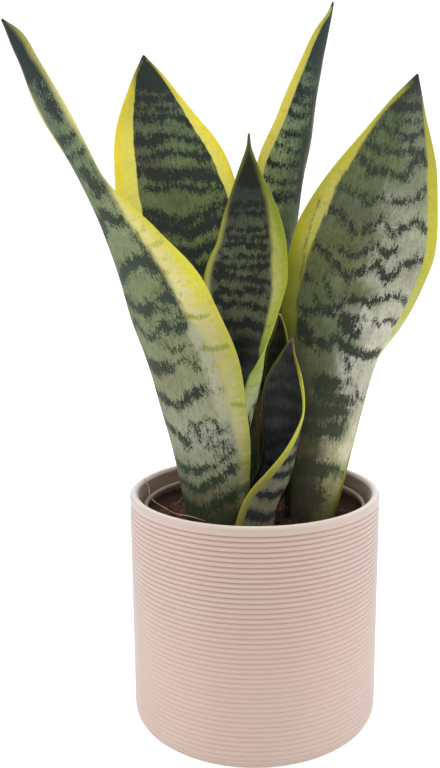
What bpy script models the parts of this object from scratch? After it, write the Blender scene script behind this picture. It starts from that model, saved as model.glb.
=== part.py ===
"""Potted snake plant: seven variegated blades in a nursery pot, standing in a ribbed ceramic cover pot.

Metres, +Z up, -Y is the front. The origin is the middle of the cover pot's flat base.
"""

import math
from typing import NamedTuple

import bmesh
import bpy
import numpy as np

MM = 0.001
TOUCH_GAP = 0.3 * MM
MERGE_DISTANCE = 0.01 * MM

# Cover pot: a straight ceramic cylinder with fine grooves turned into its side
POT_HEIGHT = 130 * MM
POT_RADIUS = 67 * MM
POT_TAPER = 0.7 * MM
POT_LIP_RADIUS = 63 * MM
POT_INSIDE_FOOT_RADIUS = 59 * MM
POT_FLOOR = 5 * MM
POT_BASE_ROUNDING = 11 * MM
POT_FOOT_RADIUS = 57 * MM
POT_INSIDE_ROUNDING = 8 * MM
POT_INSIDE_STEPS = 3
POT_RIM_STEPS = 6
GROOVE_COUNT = 47
GROOVE_PITCH = 2.6 * MM
GROOVE_DEPTH = 0.55 * MM
FIRST_GROOVE_BELOW_RIM = 5 * MM
ROUND_SIDES = 33

# Nursery pot: thin plastic, tapered, with a stiff rim band and drain holes
NURSERY_RIM_TOP = 122.5 * MM
NURSERY_RIM_RADIUS = 60 * MM
NURSERY_RIM_BAND = 9.5 * MM
NURSERY_RIM_STEP = 1.6 * MM
NURSERY_FOOT_RADIUS = 44 * MM
NURSERY_WALL = 1.2 * MM
NURSERY_FOOT = POT_FLOOR + TOUCH_GAP
DRAIN_HOLES = 6
DRAIN_RADIUS = 4.5 * MM
DRAIN_CIRCLE = 30 * MM
DRAIN_SIDES = 10
DRAIN_CUT_HEIGHT = 6 * MM

# Potting soil: fills the nursery pot up to just under its rim band
SOIL_LEVEL = 112 * MM
SOIL_LUMP = 1.6 * MM
SOIL_LUMP_SPREAD = 7.5 * MM
SOIL_CRUMB_SPREAD = 5.2 * MM
SOIL_SIDE_GAP = 0.45 * MM
SOIL_RINGS = 7

# Creeping stem under the soil, which every blade stands on
RHIZOME_RADIUS = 8 * MM
RHIZOME_SIDES_RESOLUTION = 2
RHIZOME_LENGTH_RESOLUTION = 3
RHIZOME_ARMS_MM = (
    ((-27, -25, 89), (-14, -8, 89), (-2, 3, 89.4), (14, 3, 89.4), (33, -2, 89.4)),
    ((-3, 4, 89.4), (-8, 17, 89), (-9, 31, 89.4)),
    ((4, 5, 89.4), (10, 20, 89), (15, 38, 89.4)),
    ((-2, 2, 89.4), (5, -10, 89), (10, -27, 89.4)),
)

# Blades: thick and fleshy along the keel, thin at the margins
BLADE_FOOT_THICKNESS = 3.4 * MM
BLADE_TIP_THICKNESS = 1.1 * MM
BLADE_EDGE_THICKNESS = 0.8 * MM
MARGIN_SHARE = 0.4
MARGIN_WAVE = 0.7 * MM
WAVE_LENGTH = 46 * MM
TIP_WIDTH = 0.9 * MM
TIP_CROWDING = 1.25
HOLE_LENGTH_MM = 30
HOLE_ROWS = 3


class Station(NamedTuple):
    """One section of a blade: its keel's place and the blade's width round its curve in
    millimetres, the compass angle that its hollow side faces, and the angle of its arc."""

    x: float
    y: float
    z: float
    width: float
    facing: float
    cup: float


class Blade(NamedTuple):
    """A leaf: its sections from foot to tip, and how many rows and columns of faces it gets."""

    stations: tuple
    rows: int
    columns: int


BLADES = {
    "leaf_left": Blade(
        (
            Station(-25, -24, 98, 43, 50, 125),
            Station(-29.5, -26, 139, 58.5, 50, 124),
            Station(-39, -30, 189, 72, 50, 116),
            Station(-50.5, -34, 232, 62, 53, 100),
            Station(-62, -36, 260, 40.5, 49, 90),
            Station(-77, -37, 286, 22, 38, 80),
            Station(-87, -37, 306, 21, 38, 70),
            Station(-98, -36, 327, 18, 52, 60),
            Station(-106, -34, 346, 11.5, 60, 50),
            Station(-111.5, -33, 357, 9, 61, 45),
            Station(-118, -31, 366, 1, 62, 40),
        ),
        28,
        8,
    ),
    "leaf_back_left": Blade(
        (
            Station(-8, 30, 98, 34, 265, 110),
            Station(-12, 30, 150, 40, 264, 90),
            Station(-22, 29, 205, 52, 262, 70),
            Station(-32, 29, 245, 64, 262, 58),
            Station(-42, 31, 289, 68, 261, 52),
            Station(-51, 32, 317, 51.5, 260, 48),
            Station(-56.5, 32, 344, 21.5, 259, 40),
            Station(-59, 32, 358, 1, 258, 30),
        ),
        24,
        8,
    ),
    "leaf_centre": Blade(
        (
            Station(-5, 4, 98, 36, 185, 180),
            Station(-6, 4, 150, 37, 187, 174),
            Station(2, 4, 194, 40, 202, 146),
            Station(-1.5, 3, 215, 41, 236, 105),
            Station(-3.5, 4, 239, 47, 256, 72),
            Station(-1.3, 5, 258, 39.5, 262, 60),
            Station(-1.5, 5, 276, 30, 264, 55),
            Station(-2.7, 3, 296, 13.5, 266, 50),
            Station(-3, 1, 309, 3, 266, 40),
            Station(-3, 0, 316, 1, 266, 30),
        ),
        26,
        8,
    ),
    "leaf_back": Blade(
        (
            Station(14, 36, 98, 24, 130, 115),
            Station(14, 38, 160, 32, 132, 105),
            Station(12, 42, 235, 42, 134, 100),
            Station(20.5, 44, 300, 42, 135, 92),
            Station(26, 45, 324, 33, 136, 85),
            Station(33.5, 45, 359, 17.5, 138, 70),
            Station(37, 45, 371, 11.5, 138, 62),
            Station(40.5, 45, 381, 4, 138, 55),
            Station(42, 45, 387, 1, 138, 50),
        ),
        24,
        8,
    ),
    "leaf_right": Blade(
        (
            Station(31, -2, 98, 36, 110, 150),
            Station(35, -1, 118, 41, 111, 148),
            Station(40.8, 1, 157, 56, 111, 140),
            Station(46.5, 3, 201, 69, 109, 116),
            Station(52.5, 4, 225, 82, 107, 94),
            Station(59, 5, 246, 86.5, 106, 78),
            Station(64.6, 6, 266, 84, 106, 68),
            Station(73, 8, 300, 56.5, 104, 60),
            Station(78.7, 10, 329, 22.5, 102, 54),
            Station(83, 10, 346, 1, 100, 45),
        ),
        28,
        8,
    ),
    "leaf_small_front": Blade(
        (
            Station(7, -25, 98, 48, 170, 205),
            Station(9.5, -25, 126, 47, 173, 211),
            Station(17, -25, 144, 42, 184, 188),
            Station(19.5, -24, 160, 36, 206, 160),
            Station(18.5, -22, 176, 34, 233, 138),
            Station(17, -20, 192, 25, 245, 118),
            Station(17.5, -18, 206, 9, 248, 100),
            Station(19, -18, 214, 1, 250, 80),
        ),
        20,
        8,
    ),
    "leaf_inner": Blade(
        (
            Station(7, 7, 98, 11, 245, 110),
            Station(9, 5, 150, 13, 240, 110),
            Station(12, 4, 186, 15, 236, 108),
            Station(14, 4, 206, 14, 236, 95),
            Station(14, 4, 216, 7, 240, 80),
            Station(13, 4, 224, 1, 245, 70),
        ),
        16,
        6,
    ),
}

# Colours, roughness and metallic value of each piece
FINISHES = {
    "pot": ((0.74, 0.56, 0.50, 1.0), 0.35, 0.0),
    "nursery_pot": ((0.30, 0.25, 0.22, 1.0), 0.45, 0.0),
    "soil": ((0.09, 0.05, 0.035, 1.0), 0.95, 0.0),
    "rhizome": ((0.62, 0.52, 0.36, 1.0), 0.7, 0.0),
    "blade": ((0.22, 0.28, 0.17, 1.0), 0.4, 0.0),
}


def clear_scene():
    """Remove what the file opens with."""
    for item in list(bpy.data.objects):
        bpy.data.objects.remove(item, do_unlink=True)


def new_collection(name):
    """A collection linked to the scene."""
    made = bpy.data.collections.new(name)
    bpy.context.scene.collection.children.link(made)
    return made


def new_material(name, finish):
    """A Principled material from one of the FINISHES."""
    colour, roughness, metallic = FINISHES[finish]
    material = bpy.data.materials.new(name)
    material.use_nodes = True
    shader = material.node_tree.nodes["Principled BSDF"]
    shader.inputs["Base Color"].default_value = colour
    shader.inputs["Roughness"].default_value = roughness
    shader.inputs["Metallic"].default_value = metallic
    material.diffuse_color = colour
    return material


def place(name, mesh, collection, finish=None):
    """An object for this mesh, in its collection and with its material."""
    made = bpy.data.objects.new(name, mesh)
    collection.objects.link(made)
    if finish:
        mesh.materials.append(new_material(name + "_finish", finish))
    return made


def mark_cutter(cutter):
    """A cutter is not rendered and shows as wire."""
    cutter.hide_render = True
    cutter.display_type = "WIRE"


def evaluated_mesh(item):
    """A new mesh of the object with its modifiers applied."""
    graph = bpy.context.evaluated_depsgraph_get()
    return bpy.data.meshes.new_from_object(item.evaluated_get(graph))


def arc(centre_x, centre_z, radius, start, end, steps):
    """Points (x, z) on a circle between two angles in degrees."""
    angles = np.radians(np.linspace(start, end, steps + 1))
    return [(centre_x + radius * math.cos(a), centre_z + radius * math.sin(a)) for a in angles]


def turned(name, profile, collection, finish=None, sides=ROUND_SIDES):
    """A solid turned about Z from a profile that starts and ends on the axis."""
    mesh = bpy.data.meshes.new(name)
    links = [(i, i + 1) for i in range(len(profile) - 1)]
    mesh.from_pydata([(x, 0, z) for x, z in profile], links, [])
    made = place(name, mesh, collection, finish)
    screw = made.modifiers.new("turn", "SCREW")
    screw.steps = sides
    screw.render_steps = sides
    screw.use_merge_vertices = True
    screw.merge_threshold = MERGE_DISTANCE
    screw.use_smooth_shade = True
    return made


def grooved_side():
    """The cover pot's outside from the first groove down, one crest and one valley a groove."""
    points = []
    for i in range(GROOVE_COUNT):
        valley_z = POT_HEIGHT - FIRST_GROOVE_BELOW_RIM - i * GROOVE_PITCH
        crest_z = valley_z - GROOVE_PITCH / 2
        for z, depth in ((valley_z, GROOVE_DEPTH), (crest_z, 0.0)):
            drop = max(POT_BASE_ROUNDING - z, 0.0)
            rounding = POT_BASE_ROUNDING - math.sqrt(POT_BASE_ROUNDING**2 - drop**2)
            taper = POT_TAPER * (1 - z / POT_HEIGHT)
            points.append((POT_RADIUS - taper - rounding - depth, z))
    return points


def pot_profile():
    """The cover pot's section: floor, inside wall, lip, grooved outside and flat base."""
    lip = (POT_RADIUS - POT_LIP_RADIUS) / 2
    inside = arc(
        POT_INSIDE_FOOT_RADIUS - POT_INSIDE_ROUNDING,
        POT_FLOOR + POT_INSIDE_ROUNDING,
        POT_INSIDE_ROUNDING,
        -90,
        0,
        POT_INSIDE_STEPS,
    )
    rim = arc(POT_LIP_RADIUS + lip, POT_HEIGHT - lip, lip, 180, 0, POT_RIM_STEPS)
    corner_x = POT_RADIUS - POT_TAPER - POT_BASE_ROUNDING
    corner = arc(corner_x, POT_BASE_ROUNDING, POT_BASE_ROUNDING, -50, -70, 1)
    return [(0, POT_FLOOR), *inside, *rim, *grooved_side(), *corner, (POT_FOOT_RADIUS, 0), (0, 0)]


def build_pot(parts):
    """The ribbed ceramic cover pot."""
    return turned("pot", pot_profile(), parts, "pot")


def nursery_radius(z):
    """The nursery pot's outer radius below its rim band."""
    top = NURSERY_RIM_RADIUS - NURSERY_RIM_STEP
    share = (z - NURSERY_FOOT) / (NURSERY_RIM_TOP - NURSERY_FOOT)
    return NURSERY_FOOT_RADIUS + (top - NURSERY_FOOT_RADIUS) * share


def nursery_profile():
    """The nursery pot's section: floor, inside wall, rim band and tapered outside."""
    band_foot = NURSERY_RIM_TOP - NURSERY_RIM_BAND
    floor = NURSERY_FOOT + NURSERY_WALL
    inside_top = NURSERY_RIM_RADIUS - NURSERY_WALL
    return [
        (0, floor),
        (nursery_radius(floor) - NURSERY_WALL, floor),
        (nursery_radius(band_foot) - NURSERY_WALL, band_foot),
        (inside_top, band_foot + NURSERY_RIM_STEP),
        (inside_top, NURSERY_RIM_TOP),
        (NURSERY_RIM_RADIUS, NURSERY_RIM_TOP),
        (NURSERY_RIM_RADIUS, band_foot),
        (nursery_radius(band_foot), band_foot),
        (nursery_radius(NURSERY_FOOT), NURSERY_FOOT),
        (0, NURSERY_FOOT),
    ]


def build_nursery_pot(parts, cutters):
    """The thin plastic pot with a ring of drain holes in its floor."""
    made = turned("nursery_pot", nursery_profile(), parts, "nursery_pot")
    for i in range(DRAIN_HOLES):
        angle = 2 * math.pi * (i + 0.5) / DRAIN_HOLES
        mesh = bpy.data.meshes.new(f"drain_{i}")
        shape = bmesh.new()
        bmesh.ops.create_cone(
            shape,
            cap_ends=True,
            segments=DRAIN_SIDES,
            radius1=DRAIN_RADIUS,
            radius2=DRAIN_RADIUS,
            depth=DRAIN_CUT_HEIGHT,
        )
        shape.to_mesh(mesh)
        shape.free()
        cutter = place(f"drain_{i}", mesh, cutters)
        cutter.location = (DRAIN_CIRCLE * math.cos(angle), DRAIN_CIRCLE * math.sin(angle), NURSERY_FOOT)
        mark_cutter(cutter)
        cut = made.modifiers.new(f"drain_{i}", "BOOLEAN")
        cut.operation = "DIFFERENCE"
        cut.object = cutter
    return made


def smooth_between(stations, places):
    """The stations' values at these distances along the keel, on one smooth curve."""
    values = np.array(stations, float)
    steps = np.linalg.norm(np.diff(values[:, :3], axis=0), axis=1)
    at = np.concatenate([[0.0], np.cumsum(steps)])
    slope = np.empty_like(values)
    slope[1:-1] = (values[2:] - values[:-2]) / (at[2:] - at[:-2])[:, None]
    slope[0] = (values[1] - values[0]) / (at[1] - at[0])
    slope[-1] = (values[-1] - values[-2]) / (at[-1] - at[-2])
    wanted = np.asarray(places) * at[-1]
    i = np.clip(np.searchsorted(at, wanted, side="right") - 1, 0, len(at) - 2)
    span = (at[i + 1] - at[i])[:, None]
    t = ((wanted - at[i]) / span[:, 0])[:, None]
    start = (2 * t**3 - 3 * t**2 + 1) * values[i] + (t**3 - 2 * t**2 + t) * span * slope[i]
    end = (3 * t**2 - 2 * t**3) * values[i + 1] + (t**3 - t**2) * span * slope[i + 1]
    return start + end


def blade_surface(stations, places, columns, reach=1.0):
    """Points of a blade's middle surface in metres, a row for each place from 0 to 1."""
    values = smooth_between(stations, places)
    keel = values[:, :3] * MM
    along = np.gradient(keel, axis=0)
    along /= np.linalg.norm(along, axis=1)[:, None]
    facing = np.radians(values[:, 4])
    hollow = np.stack([np.cos(facing), np.sin(facing), np.zeros_like(facing)], axis=1)
    hollow -= (hollow * along).sum(axis=1)[:, None] * along
    hollow /= np.linalg.norm(hollow, axis=1)[:, None]
    side = np.cross(along, hollow)
    width = np.maximum(values[:, 3] * MM, TIP_WIDTH)
    cup = np.radians(values[:, 5])
    radius = (width / cup)[:, None]
    across = np.linspace(-reach, reach, columns + 1)
    turn = across[None, :] * cup[:, None] / 2
    length = np.linalg.norm(np.diff(keel, axis=0), axis=1).sum()
    wave = np.sin(2 * math.pi * length / WAVE_LENGTH * np.asarray(places))[:, None]
    lift = MARGIN_WAVE * wave * np.abs(across[None, :]) ** 3 * np.minimum(width / width.max(), 1)[:, None]
    outward = (radius * np.sin(turn))[..., None] * side[:, None]
    inward = (radius * (1 - np.cos(turn)) + lift)[..., None] * hollow[:, None]
    return keel[:, None] + outward + inward


def grid_mesh(name, points):
    """A mesh of quads through a grid of points, split into triangles."""
    rows, columns = points.shape[:2]
    index = np.arange(rows * columns).reshape(rows, columns)
    corners = (index[:-1, :-1], index[:-1, 1:], index[1:, 1:], index[1:, :-1])
    faces = np.stack([c.ravel() for c in corners], axis=1)
    mesh = bpy.data.meshes.new(name)
    mesh.from_pydata(points.reshape(-1, 3).tolist(), [], faces.tolist())
    shape = bmesh.new()
    shape.from_mesh(mesh)
    bmesh.ops.triangulate(shape, faces=shape.faces)
    shape.to_mesh(mesh)
    shape.free()
    mesh.shade_smooth()
    return mesh


def build_blade(name, blade, parts):
    """One leaf: its curved middle surface, thickened most along the keel and near the foot."""
    places = 1 - (1 - np.linspace(0, 1, blade.rows + 1)) ** TIP_CROWDING
    points = blade_surface(blade.stations, places, blade.columns)
    made = place(name, grid_mesh(name, points), parts, "blade")
    group = made.vertex_groups.new(name="thickness")
    tip_share = BLADE_TIP_THICKNESS / BLADE_FOOT_THICKNESS
    least_share = BLADE_EDGE_THICKNESS / BLADE_FOOT_THICKNESS
    across = np.linspace(-1, 1, blade.columns + 1)
    for i, along in enumerate(places):
        body = 1 - (1 - tip_share) * along
        for j, side in enumerate(across):
            share = MARGIN_SHARE + (1 - MARGIN_SHARE) * (1 - side**2)
            weight = max(body * share, least_share)
            group.add([i * (blade.columns + 1) + j], weight, "REPLACE")
    solid = made.modifiers.new("thickness", "SOLIDIFY")
    solid.thickness = BLADE_FOOT_THICKNESS
    solid.offset = 0
    solid.vertex_group = group.name
    return made


def blade_hole(name, blade, cutters):
    """The cutter for a blade's hole in the soil: its foot, a little wider and longer all round."""
    length = np.linalg.norm(np.diff(np.array(blade.stations)[:, :3], axis=0), axis=1).sum()
    places = np.linspace(0, HOLE_LENGTH_MM / length, HOLE_ROWS + 1)
    half_width = blade.stations[0].width * MM / 2
    points = blade_surface(blade.stations, places, blade.columns, 1 + 2 * TOUCH_GAP / half_width)
    down = points[0] - points[1]
    lower = points[0] + down / np.linalg.norm(down, axis=1)[:, None] * 4 * TOUCH_GAP
    points = np.concatenate([lower[None], points])
    cutter = place(name + "_hole", grid_mesh(name + "_hole", points), cutters)
    solid = cutter.modifiers.new("thickness", "SOLIDIFY")
    solid.thickness = BLADE_FOOT_THICKNESS + 2 * TOUCH_GAP
    solid.offset = 0
    mark_cutter(cutter)
    return cutter


def rhizome_arm(name, radius, route, collection):
    """One arm of the creeping stem: a closed tube along a smooth route."""
    curve = bpy.data.curves.new(name, "CURVE")
    curve.dimensions = "3D"
    curve.bevel_depth = radius
    curve.bevel_resolution = RHIZOME_SIDES_RESOLUTION
    curve.use_fill_caps = True
    curve.resolution_u = RHIZOME_LENGTH_RESOLUTION
    spline = curve.splines.new("NURBS")
    spline.points.add(len(route) - 1)
    for point, where in zip(spline.points, route):
        point.co = (where[0] * MM, where[1] * MM, where[2] * MM, 1)
    spline.use_endpoint_u = True
    spline.order_u = 3
    guide = bpy.data.objects.new(name, curve)
    collection.objects.link(guide)
    mesh = evaluated_mesh(guide)
    bpy.data.objects.remove(guide, do_unlink=True)
    shape = bmesh.new()
    shape.from_mesh(mesh)
    bmesh.ops.remove_doubles(shape, verts=shape.verts, dist=MERGE_DISTANCE)
    shape.to_mesh(mesh)
    shape.free()
    return place(name, mesh, collection)


def rhizome_body(name, radius, collection, finish=None):
    """The branched creeping stem as one body, its arms joined by Boolean unions."""
    arms = []
    for i, route in enumerate(RHIZOME_ARMS_MM):
        arms.append(rhizome_arm(f"{name}_arm_{i}", radius, route, collection))
    trunk = arms[0]
    for arm in arms[1:]:
        join = trunk.modifiers.new(arm.name, "BOOLEAN")
        join.operation = "UNION"
        join.object = arm
    bpy.context.view_layer.update()
    made = place(name, evaluated_mesh(trunk), collection, finish)
    for arm in arms:
        bpy.data.objects.remove(arm, do_unlink=True)
    return made


def soil_profile():
    """The soil's section: a flat top in rings, the nursery pot's taper and a flat foot."""
    band_foot = NURSERY_RIM_TOP - NURSERY_RIM_BAND
    foot = NURSERY_FOOT + NURSERY_WALL + TOUCH_GAP
    clear = NURSERY_WALL + SOIL_SIDE_GAP
    edge = nursery_radius(min(SOIL_LEVEL, band_foot)) - clear
    top = [(edge * i / SOIL_RINGS, SOIL_LEVEL) for i in range(SOIL_RINGS + 1)]
    return [*top, (nursery_radius(foot) - clear, foot), (0, foot)]


def lump_height(x, y):
    """How far the soil's crumbly top stands above or below its level at a place."""
    lump = math.sin(x / SOIL_LUMP_SPREAD) * math.cos(y / SOIL_LUMP_SPREAD)
    crumb = math.sin((x + 1.7 * y) / SOIL_CRUMB_SPREAD)
    return SOIL_LUMP * (0.6 * lump + 0.4 * crumb)


def build_soil(parts, cutters):
    """The soil with a lumpy top, a hole for each blade and the hollow round the rhizome."""
    blank = turned("soil_blank", soil_profile(), cutters)
    mesh = evaluated_mesh(blank)
    bpy.data.objects.remove(blank, do_unlink=True)
    for corner in mesh.vertices:
        if corner.co.z > SOIL_LEVEL - TOUCH_GAP:
            corner.co.z += lump_height(corner.co.x, corner.co.y)
    mesh.materials.clear()
    made = place("soil", mesh, parts, "soil")
    holes = [blade_hole(name, blade, cutters) for name, blade in BLADES.items()]
    pocket = rhizome_body("rhizome_pocket", RHIZOME_RADIUS + TOUCH_GAP, cutters)
    mark_cutter(pocket)
    for cutter in [pocket, *holes]:
        cut = made.modifiers.new(cutter.name, "BOOLEAN")
        cut.operation = "DIFFERENCE"
        cut.object = cutter
    return made


def main():
    """Build every piece in place."""
    clear_scene()
    parts = new_collection("potted_snake_plant")
    cutters = new_collection("cutters")
    build_pot(parts)
    build_nursery_pot(parts, cutters)
    build_soil(parts, cutters)
    rhizome_body("rhizome", RHIZOME_RADIUS, parts, "rhizome")
    for name, blade in BLADES.items():
        build_blade(name, blade, parts)


main()
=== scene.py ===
"""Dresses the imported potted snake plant: variegated blades, glazed cover pot, grow pot and coir soil.

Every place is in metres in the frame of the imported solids, +Z up, -Y towards the viewer.
Places marked as pixels are on the 440 by 768 photograph and are carried onto the surface they belong to.
"""

from __future__ import annotations

import logging
import math
from dataclasses import dataclass, field
from enum import Enum

import bmesh
import bpy
import numpy as np
from mathutils import Matrix, Vector

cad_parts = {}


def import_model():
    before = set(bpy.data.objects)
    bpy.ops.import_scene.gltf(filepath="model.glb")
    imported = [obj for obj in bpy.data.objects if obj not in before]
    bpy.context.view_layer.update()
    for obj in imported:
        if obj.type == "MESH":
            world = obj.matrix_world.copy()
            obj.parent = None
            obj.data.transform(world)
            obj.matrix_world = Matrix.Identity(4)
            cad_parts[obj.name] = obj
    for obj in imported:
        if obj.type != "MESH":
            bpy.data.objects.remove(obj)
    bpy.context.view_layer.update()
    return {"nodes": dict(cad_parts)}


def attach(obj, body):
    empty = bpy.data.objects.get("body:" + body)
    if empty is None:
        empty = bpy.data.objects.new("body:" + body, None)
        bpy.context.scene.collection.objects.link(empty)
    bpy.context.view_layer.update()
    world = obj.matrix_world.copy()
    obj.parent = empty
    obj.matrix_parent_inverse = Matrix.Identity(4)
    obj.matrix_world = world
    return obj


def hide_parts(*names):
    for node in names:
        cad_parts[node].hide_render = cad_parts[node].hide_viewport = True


log = logging.getLogger("snake_plant")

MM = 0.001
# Distances to a blade's drawn lines are kept between these, in millimetres.
FAR = 9.0
DEEP = -6.0
Pixel = tuple[float, float]
Colour = tuple[float, float, float, float]


def colour(code: str) -> Colour:
    """Turn a six-digit display colour into the linear colour that a shader takes.

    Args:
        code: Hexadecimal red, green and blue, such as "8a9067".

    Returns:
        Linear red, green, blue and an alpha of one.
    """
    shares = [int(code[i : i + 2], 16) / 255 for i in (0, 2, 4)]
    linear = [s / 12.92 if s <= 0.04045 else ((s + 0.055) / 1.055) ** 2.4 for s in shares]
    return (linear[0], linear[1], linear[2], 1.0)


class Signal:
    """One output of a shader node, used as a value in Python expressions."""

    def __init__(self, shader: ShaderTree, socket: bpy.types.NodeSocket) -> None:
        """Keep the tree and the socket."""
        self.shader = shader
        self.socket = socket

    def other(self, name: str) -> Signal:
        """Another output of the same node, by name."""
        return Signal(self.shader, self.socket.node.outputs[name])

    def math(self, operation: str, other: Signal | float, swapped: bool = False) -> Signal:
        """The result of a Math node on this value and another, which comes first if they are swapped."""
        pair = (other, self) if swapped else (self, other)
        return self.shader.node("ShaderNodeMath", {"operation": operation}, {0: pair[0], 1: pair[1]})

    def __add__(self, other: Signal | float) -> Signal:
        """Sum."""
        return self.math("ADD", other)

    __radd__ = __add__

    def __mul__(self, other: Signal | float) -> Signal:
        """Product."""
        return self.math("MULTIPLY", other)

    __rmul__ = __mul__

    def __sub__(self, other: Signal | float) -> Signal:
        """Difference."""
        return self.math("SUBTRACT", other)

    def __rsub__(self, other: Signal | float) -> Signal:
        """Reflected difference."""
        return self.math("SUBTRACT", other, swapped=True)

    def __neg__(self) -> Signal:
        """Negative."""
        return self.math("MULTIPLY", -1.0)

    def at_least(self, other: Signal | float) -> Signal:
        """The larger of two values."""
        return self.math("MAXIMUM", other)

    def at_most(self, other: Signal | float) -> Signal:
        """The smaller of two values."""
        return self.math("MINIMUM", other)

    def step(self, start: float, end: float) -> Signal:
        """Rise smoothly from 0 at start to 1 at end, or fall where end is the smaller.

        Args:
            start: The value that gives 0.
            end: The value that gives 1.

        Returns:
            The eased share from 0 to 1.
        """
        low, high = min(start, end), max(start, end)
        span = {"Value": self, "From Min": low, "From Max": high}
        rising = self.shader.node("ShaderNodeMapRange", {"interpolation_type": "SMOOTHSTEP"}, span)
        return rising if end > start else 1.0 - rising


class ShaderTree:
    """The node tree of a material or a world, built by method calls."""

    def __init__(self, tree: bpy.types.NodeTree) -> None:
        """Keep the tree and empty it."""
        self.tree = tree
        tree.nodes.clear()

    def node(
        self,
        kind: str,
        settings: dict[str, object] | None = None,
        inputs: dict[str | int, object] | None = None,
        output: str | int = 0,
    ) -> Signal:
        """Add a node: its settings first, then the values or links of its sockets.

        Args:
            kind: The node's type.
            settings: Properties of the node.
            inputs: A value, a colour or a Signal for each named or numbered input.
            output: Which output to return.

        Returns:
            That output.
        """
        made = self.tree.nodes.new(kind)
        for name, value in (settings or {}).items():
            setattr(made, name, value)
        for name, value in (inputs or {}).items():
            if isinstance(value, Signal):
                self.tree.links.new(value.socket, made.inputs[name])
            else:
                made.inputs[name].default_value = value
        return Signal(self, made.outputs[output] if made.outputs else None)

    def attribute(self, name: str) -> Signal:
        """A vector attribute of the mesh."""
        return self.node("ShaderNodeAttribute", {"attribute_name": name}, output="Vector")

    def place(self) -> Signal:
        """The place in the object's own frame."""
        return self.node("ShaderNodeTexCoord", output="Object")

    def parts(self, vector: Signal) -> tuple[Signal, Signal, Signal]:
        """The three numbers of a vector."""
        split = self.node("ShaderNodeSeparateXYZ", inputs={0: vector})
        return split, split.other("Y"), split.other("Z")

    def noise(
        self,
        where: Signal,
        per_unit: tuple[float, float, float],
        detail: float = 2.0,
        roughness: float = 0.5,
    ) -> Signal:
        """Noise with its own fineness along each axis.

        Args:
            where: The vector it is read at.
            per_unit: Cells for each unit of that vector, along its three axes.
            detail: Octaves above the first.
            roughness: Share that each octave adds.

        Returns:
            The noise, centred on zero.
        """
        scaled = self.node("ShaderNodeVectorMath", {"operation": "MULTIPLY"}, {0: where, 1: per_unit})
        values = {"Vector": scaled, "Scale": 1.0, "Detail": detail, "Roughness": roughness}
        return self.node("ShaderNodeTexNoise", inputs=values) - 0.5

    def mix(self, share: Signal | float, first: Signal | Colour, second: Signal | Colour) -> Signal:
        """The first colour where share is 0 and the second where it is 1."""
        inputs = {0: share, 6: first, 7: second}
        return self.node("ShaderNodeMix", {"data_type": "RGBA"}, inputs, output=2)

    def tint(self, base: Signal, factor: Signal) -> Signal:
        """A colour made lighter or darker by a factor."""
        return self.node("ShaderNodeVectorMath", {"operation": "SCALE"}, {0: base, "Scale": factor})

    def ramp(self, value: Signal, stops: tuple[tuple[float, str], ...]) -> Signal:
        """A colour read along a ramp.

        Args:
            value: The place on the ramp, from 0 to 1.
            stops: Place and display colour of each stop.

        Returns:
            The colour.
        """
        made = self.node("ShaderNodeValToRGB", inputs={0: value})
        band = made.socket.node.color_ramp
        while len(band.elements) < len(stops):
            band.elements.new(0.5)
        for element, (place, code) in zip(band.elements, sorted(stops)):
            element.position = place
            element.color = colour(code)
        return made

    def bump(self, height: Signal, strength: float, distance: float) -> Signal:
        """A Bump node on a height, ready for the Normal input."""
        inputs = {"Strength": strength, "Distance": distance, "Height": height}
        return self.node("ShaderNodeBump", inputs=inputs)

    def surface(self, values: dict[str, object]) -> None:
        """End the tree in a Principled surface with these inputs."""
        shader = self.node("ShaderNodeBsdfPrincipled", inputs=values)
        self.node("ShaderNodeOutputMaterial", inputs={"Surface": shader})


def new_material(name: str) -> tuple[bpy.types.Material, ShaderTree]:
    """Make an empty material.

    Args:
        name: The material's name.

    Returns:
        The material and the tree to build its look in.
    """
    made = bpy.data.materials.new(name)
    made.use_nodes = True
    return made, ShaderTree(made.node_tree)


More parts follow.
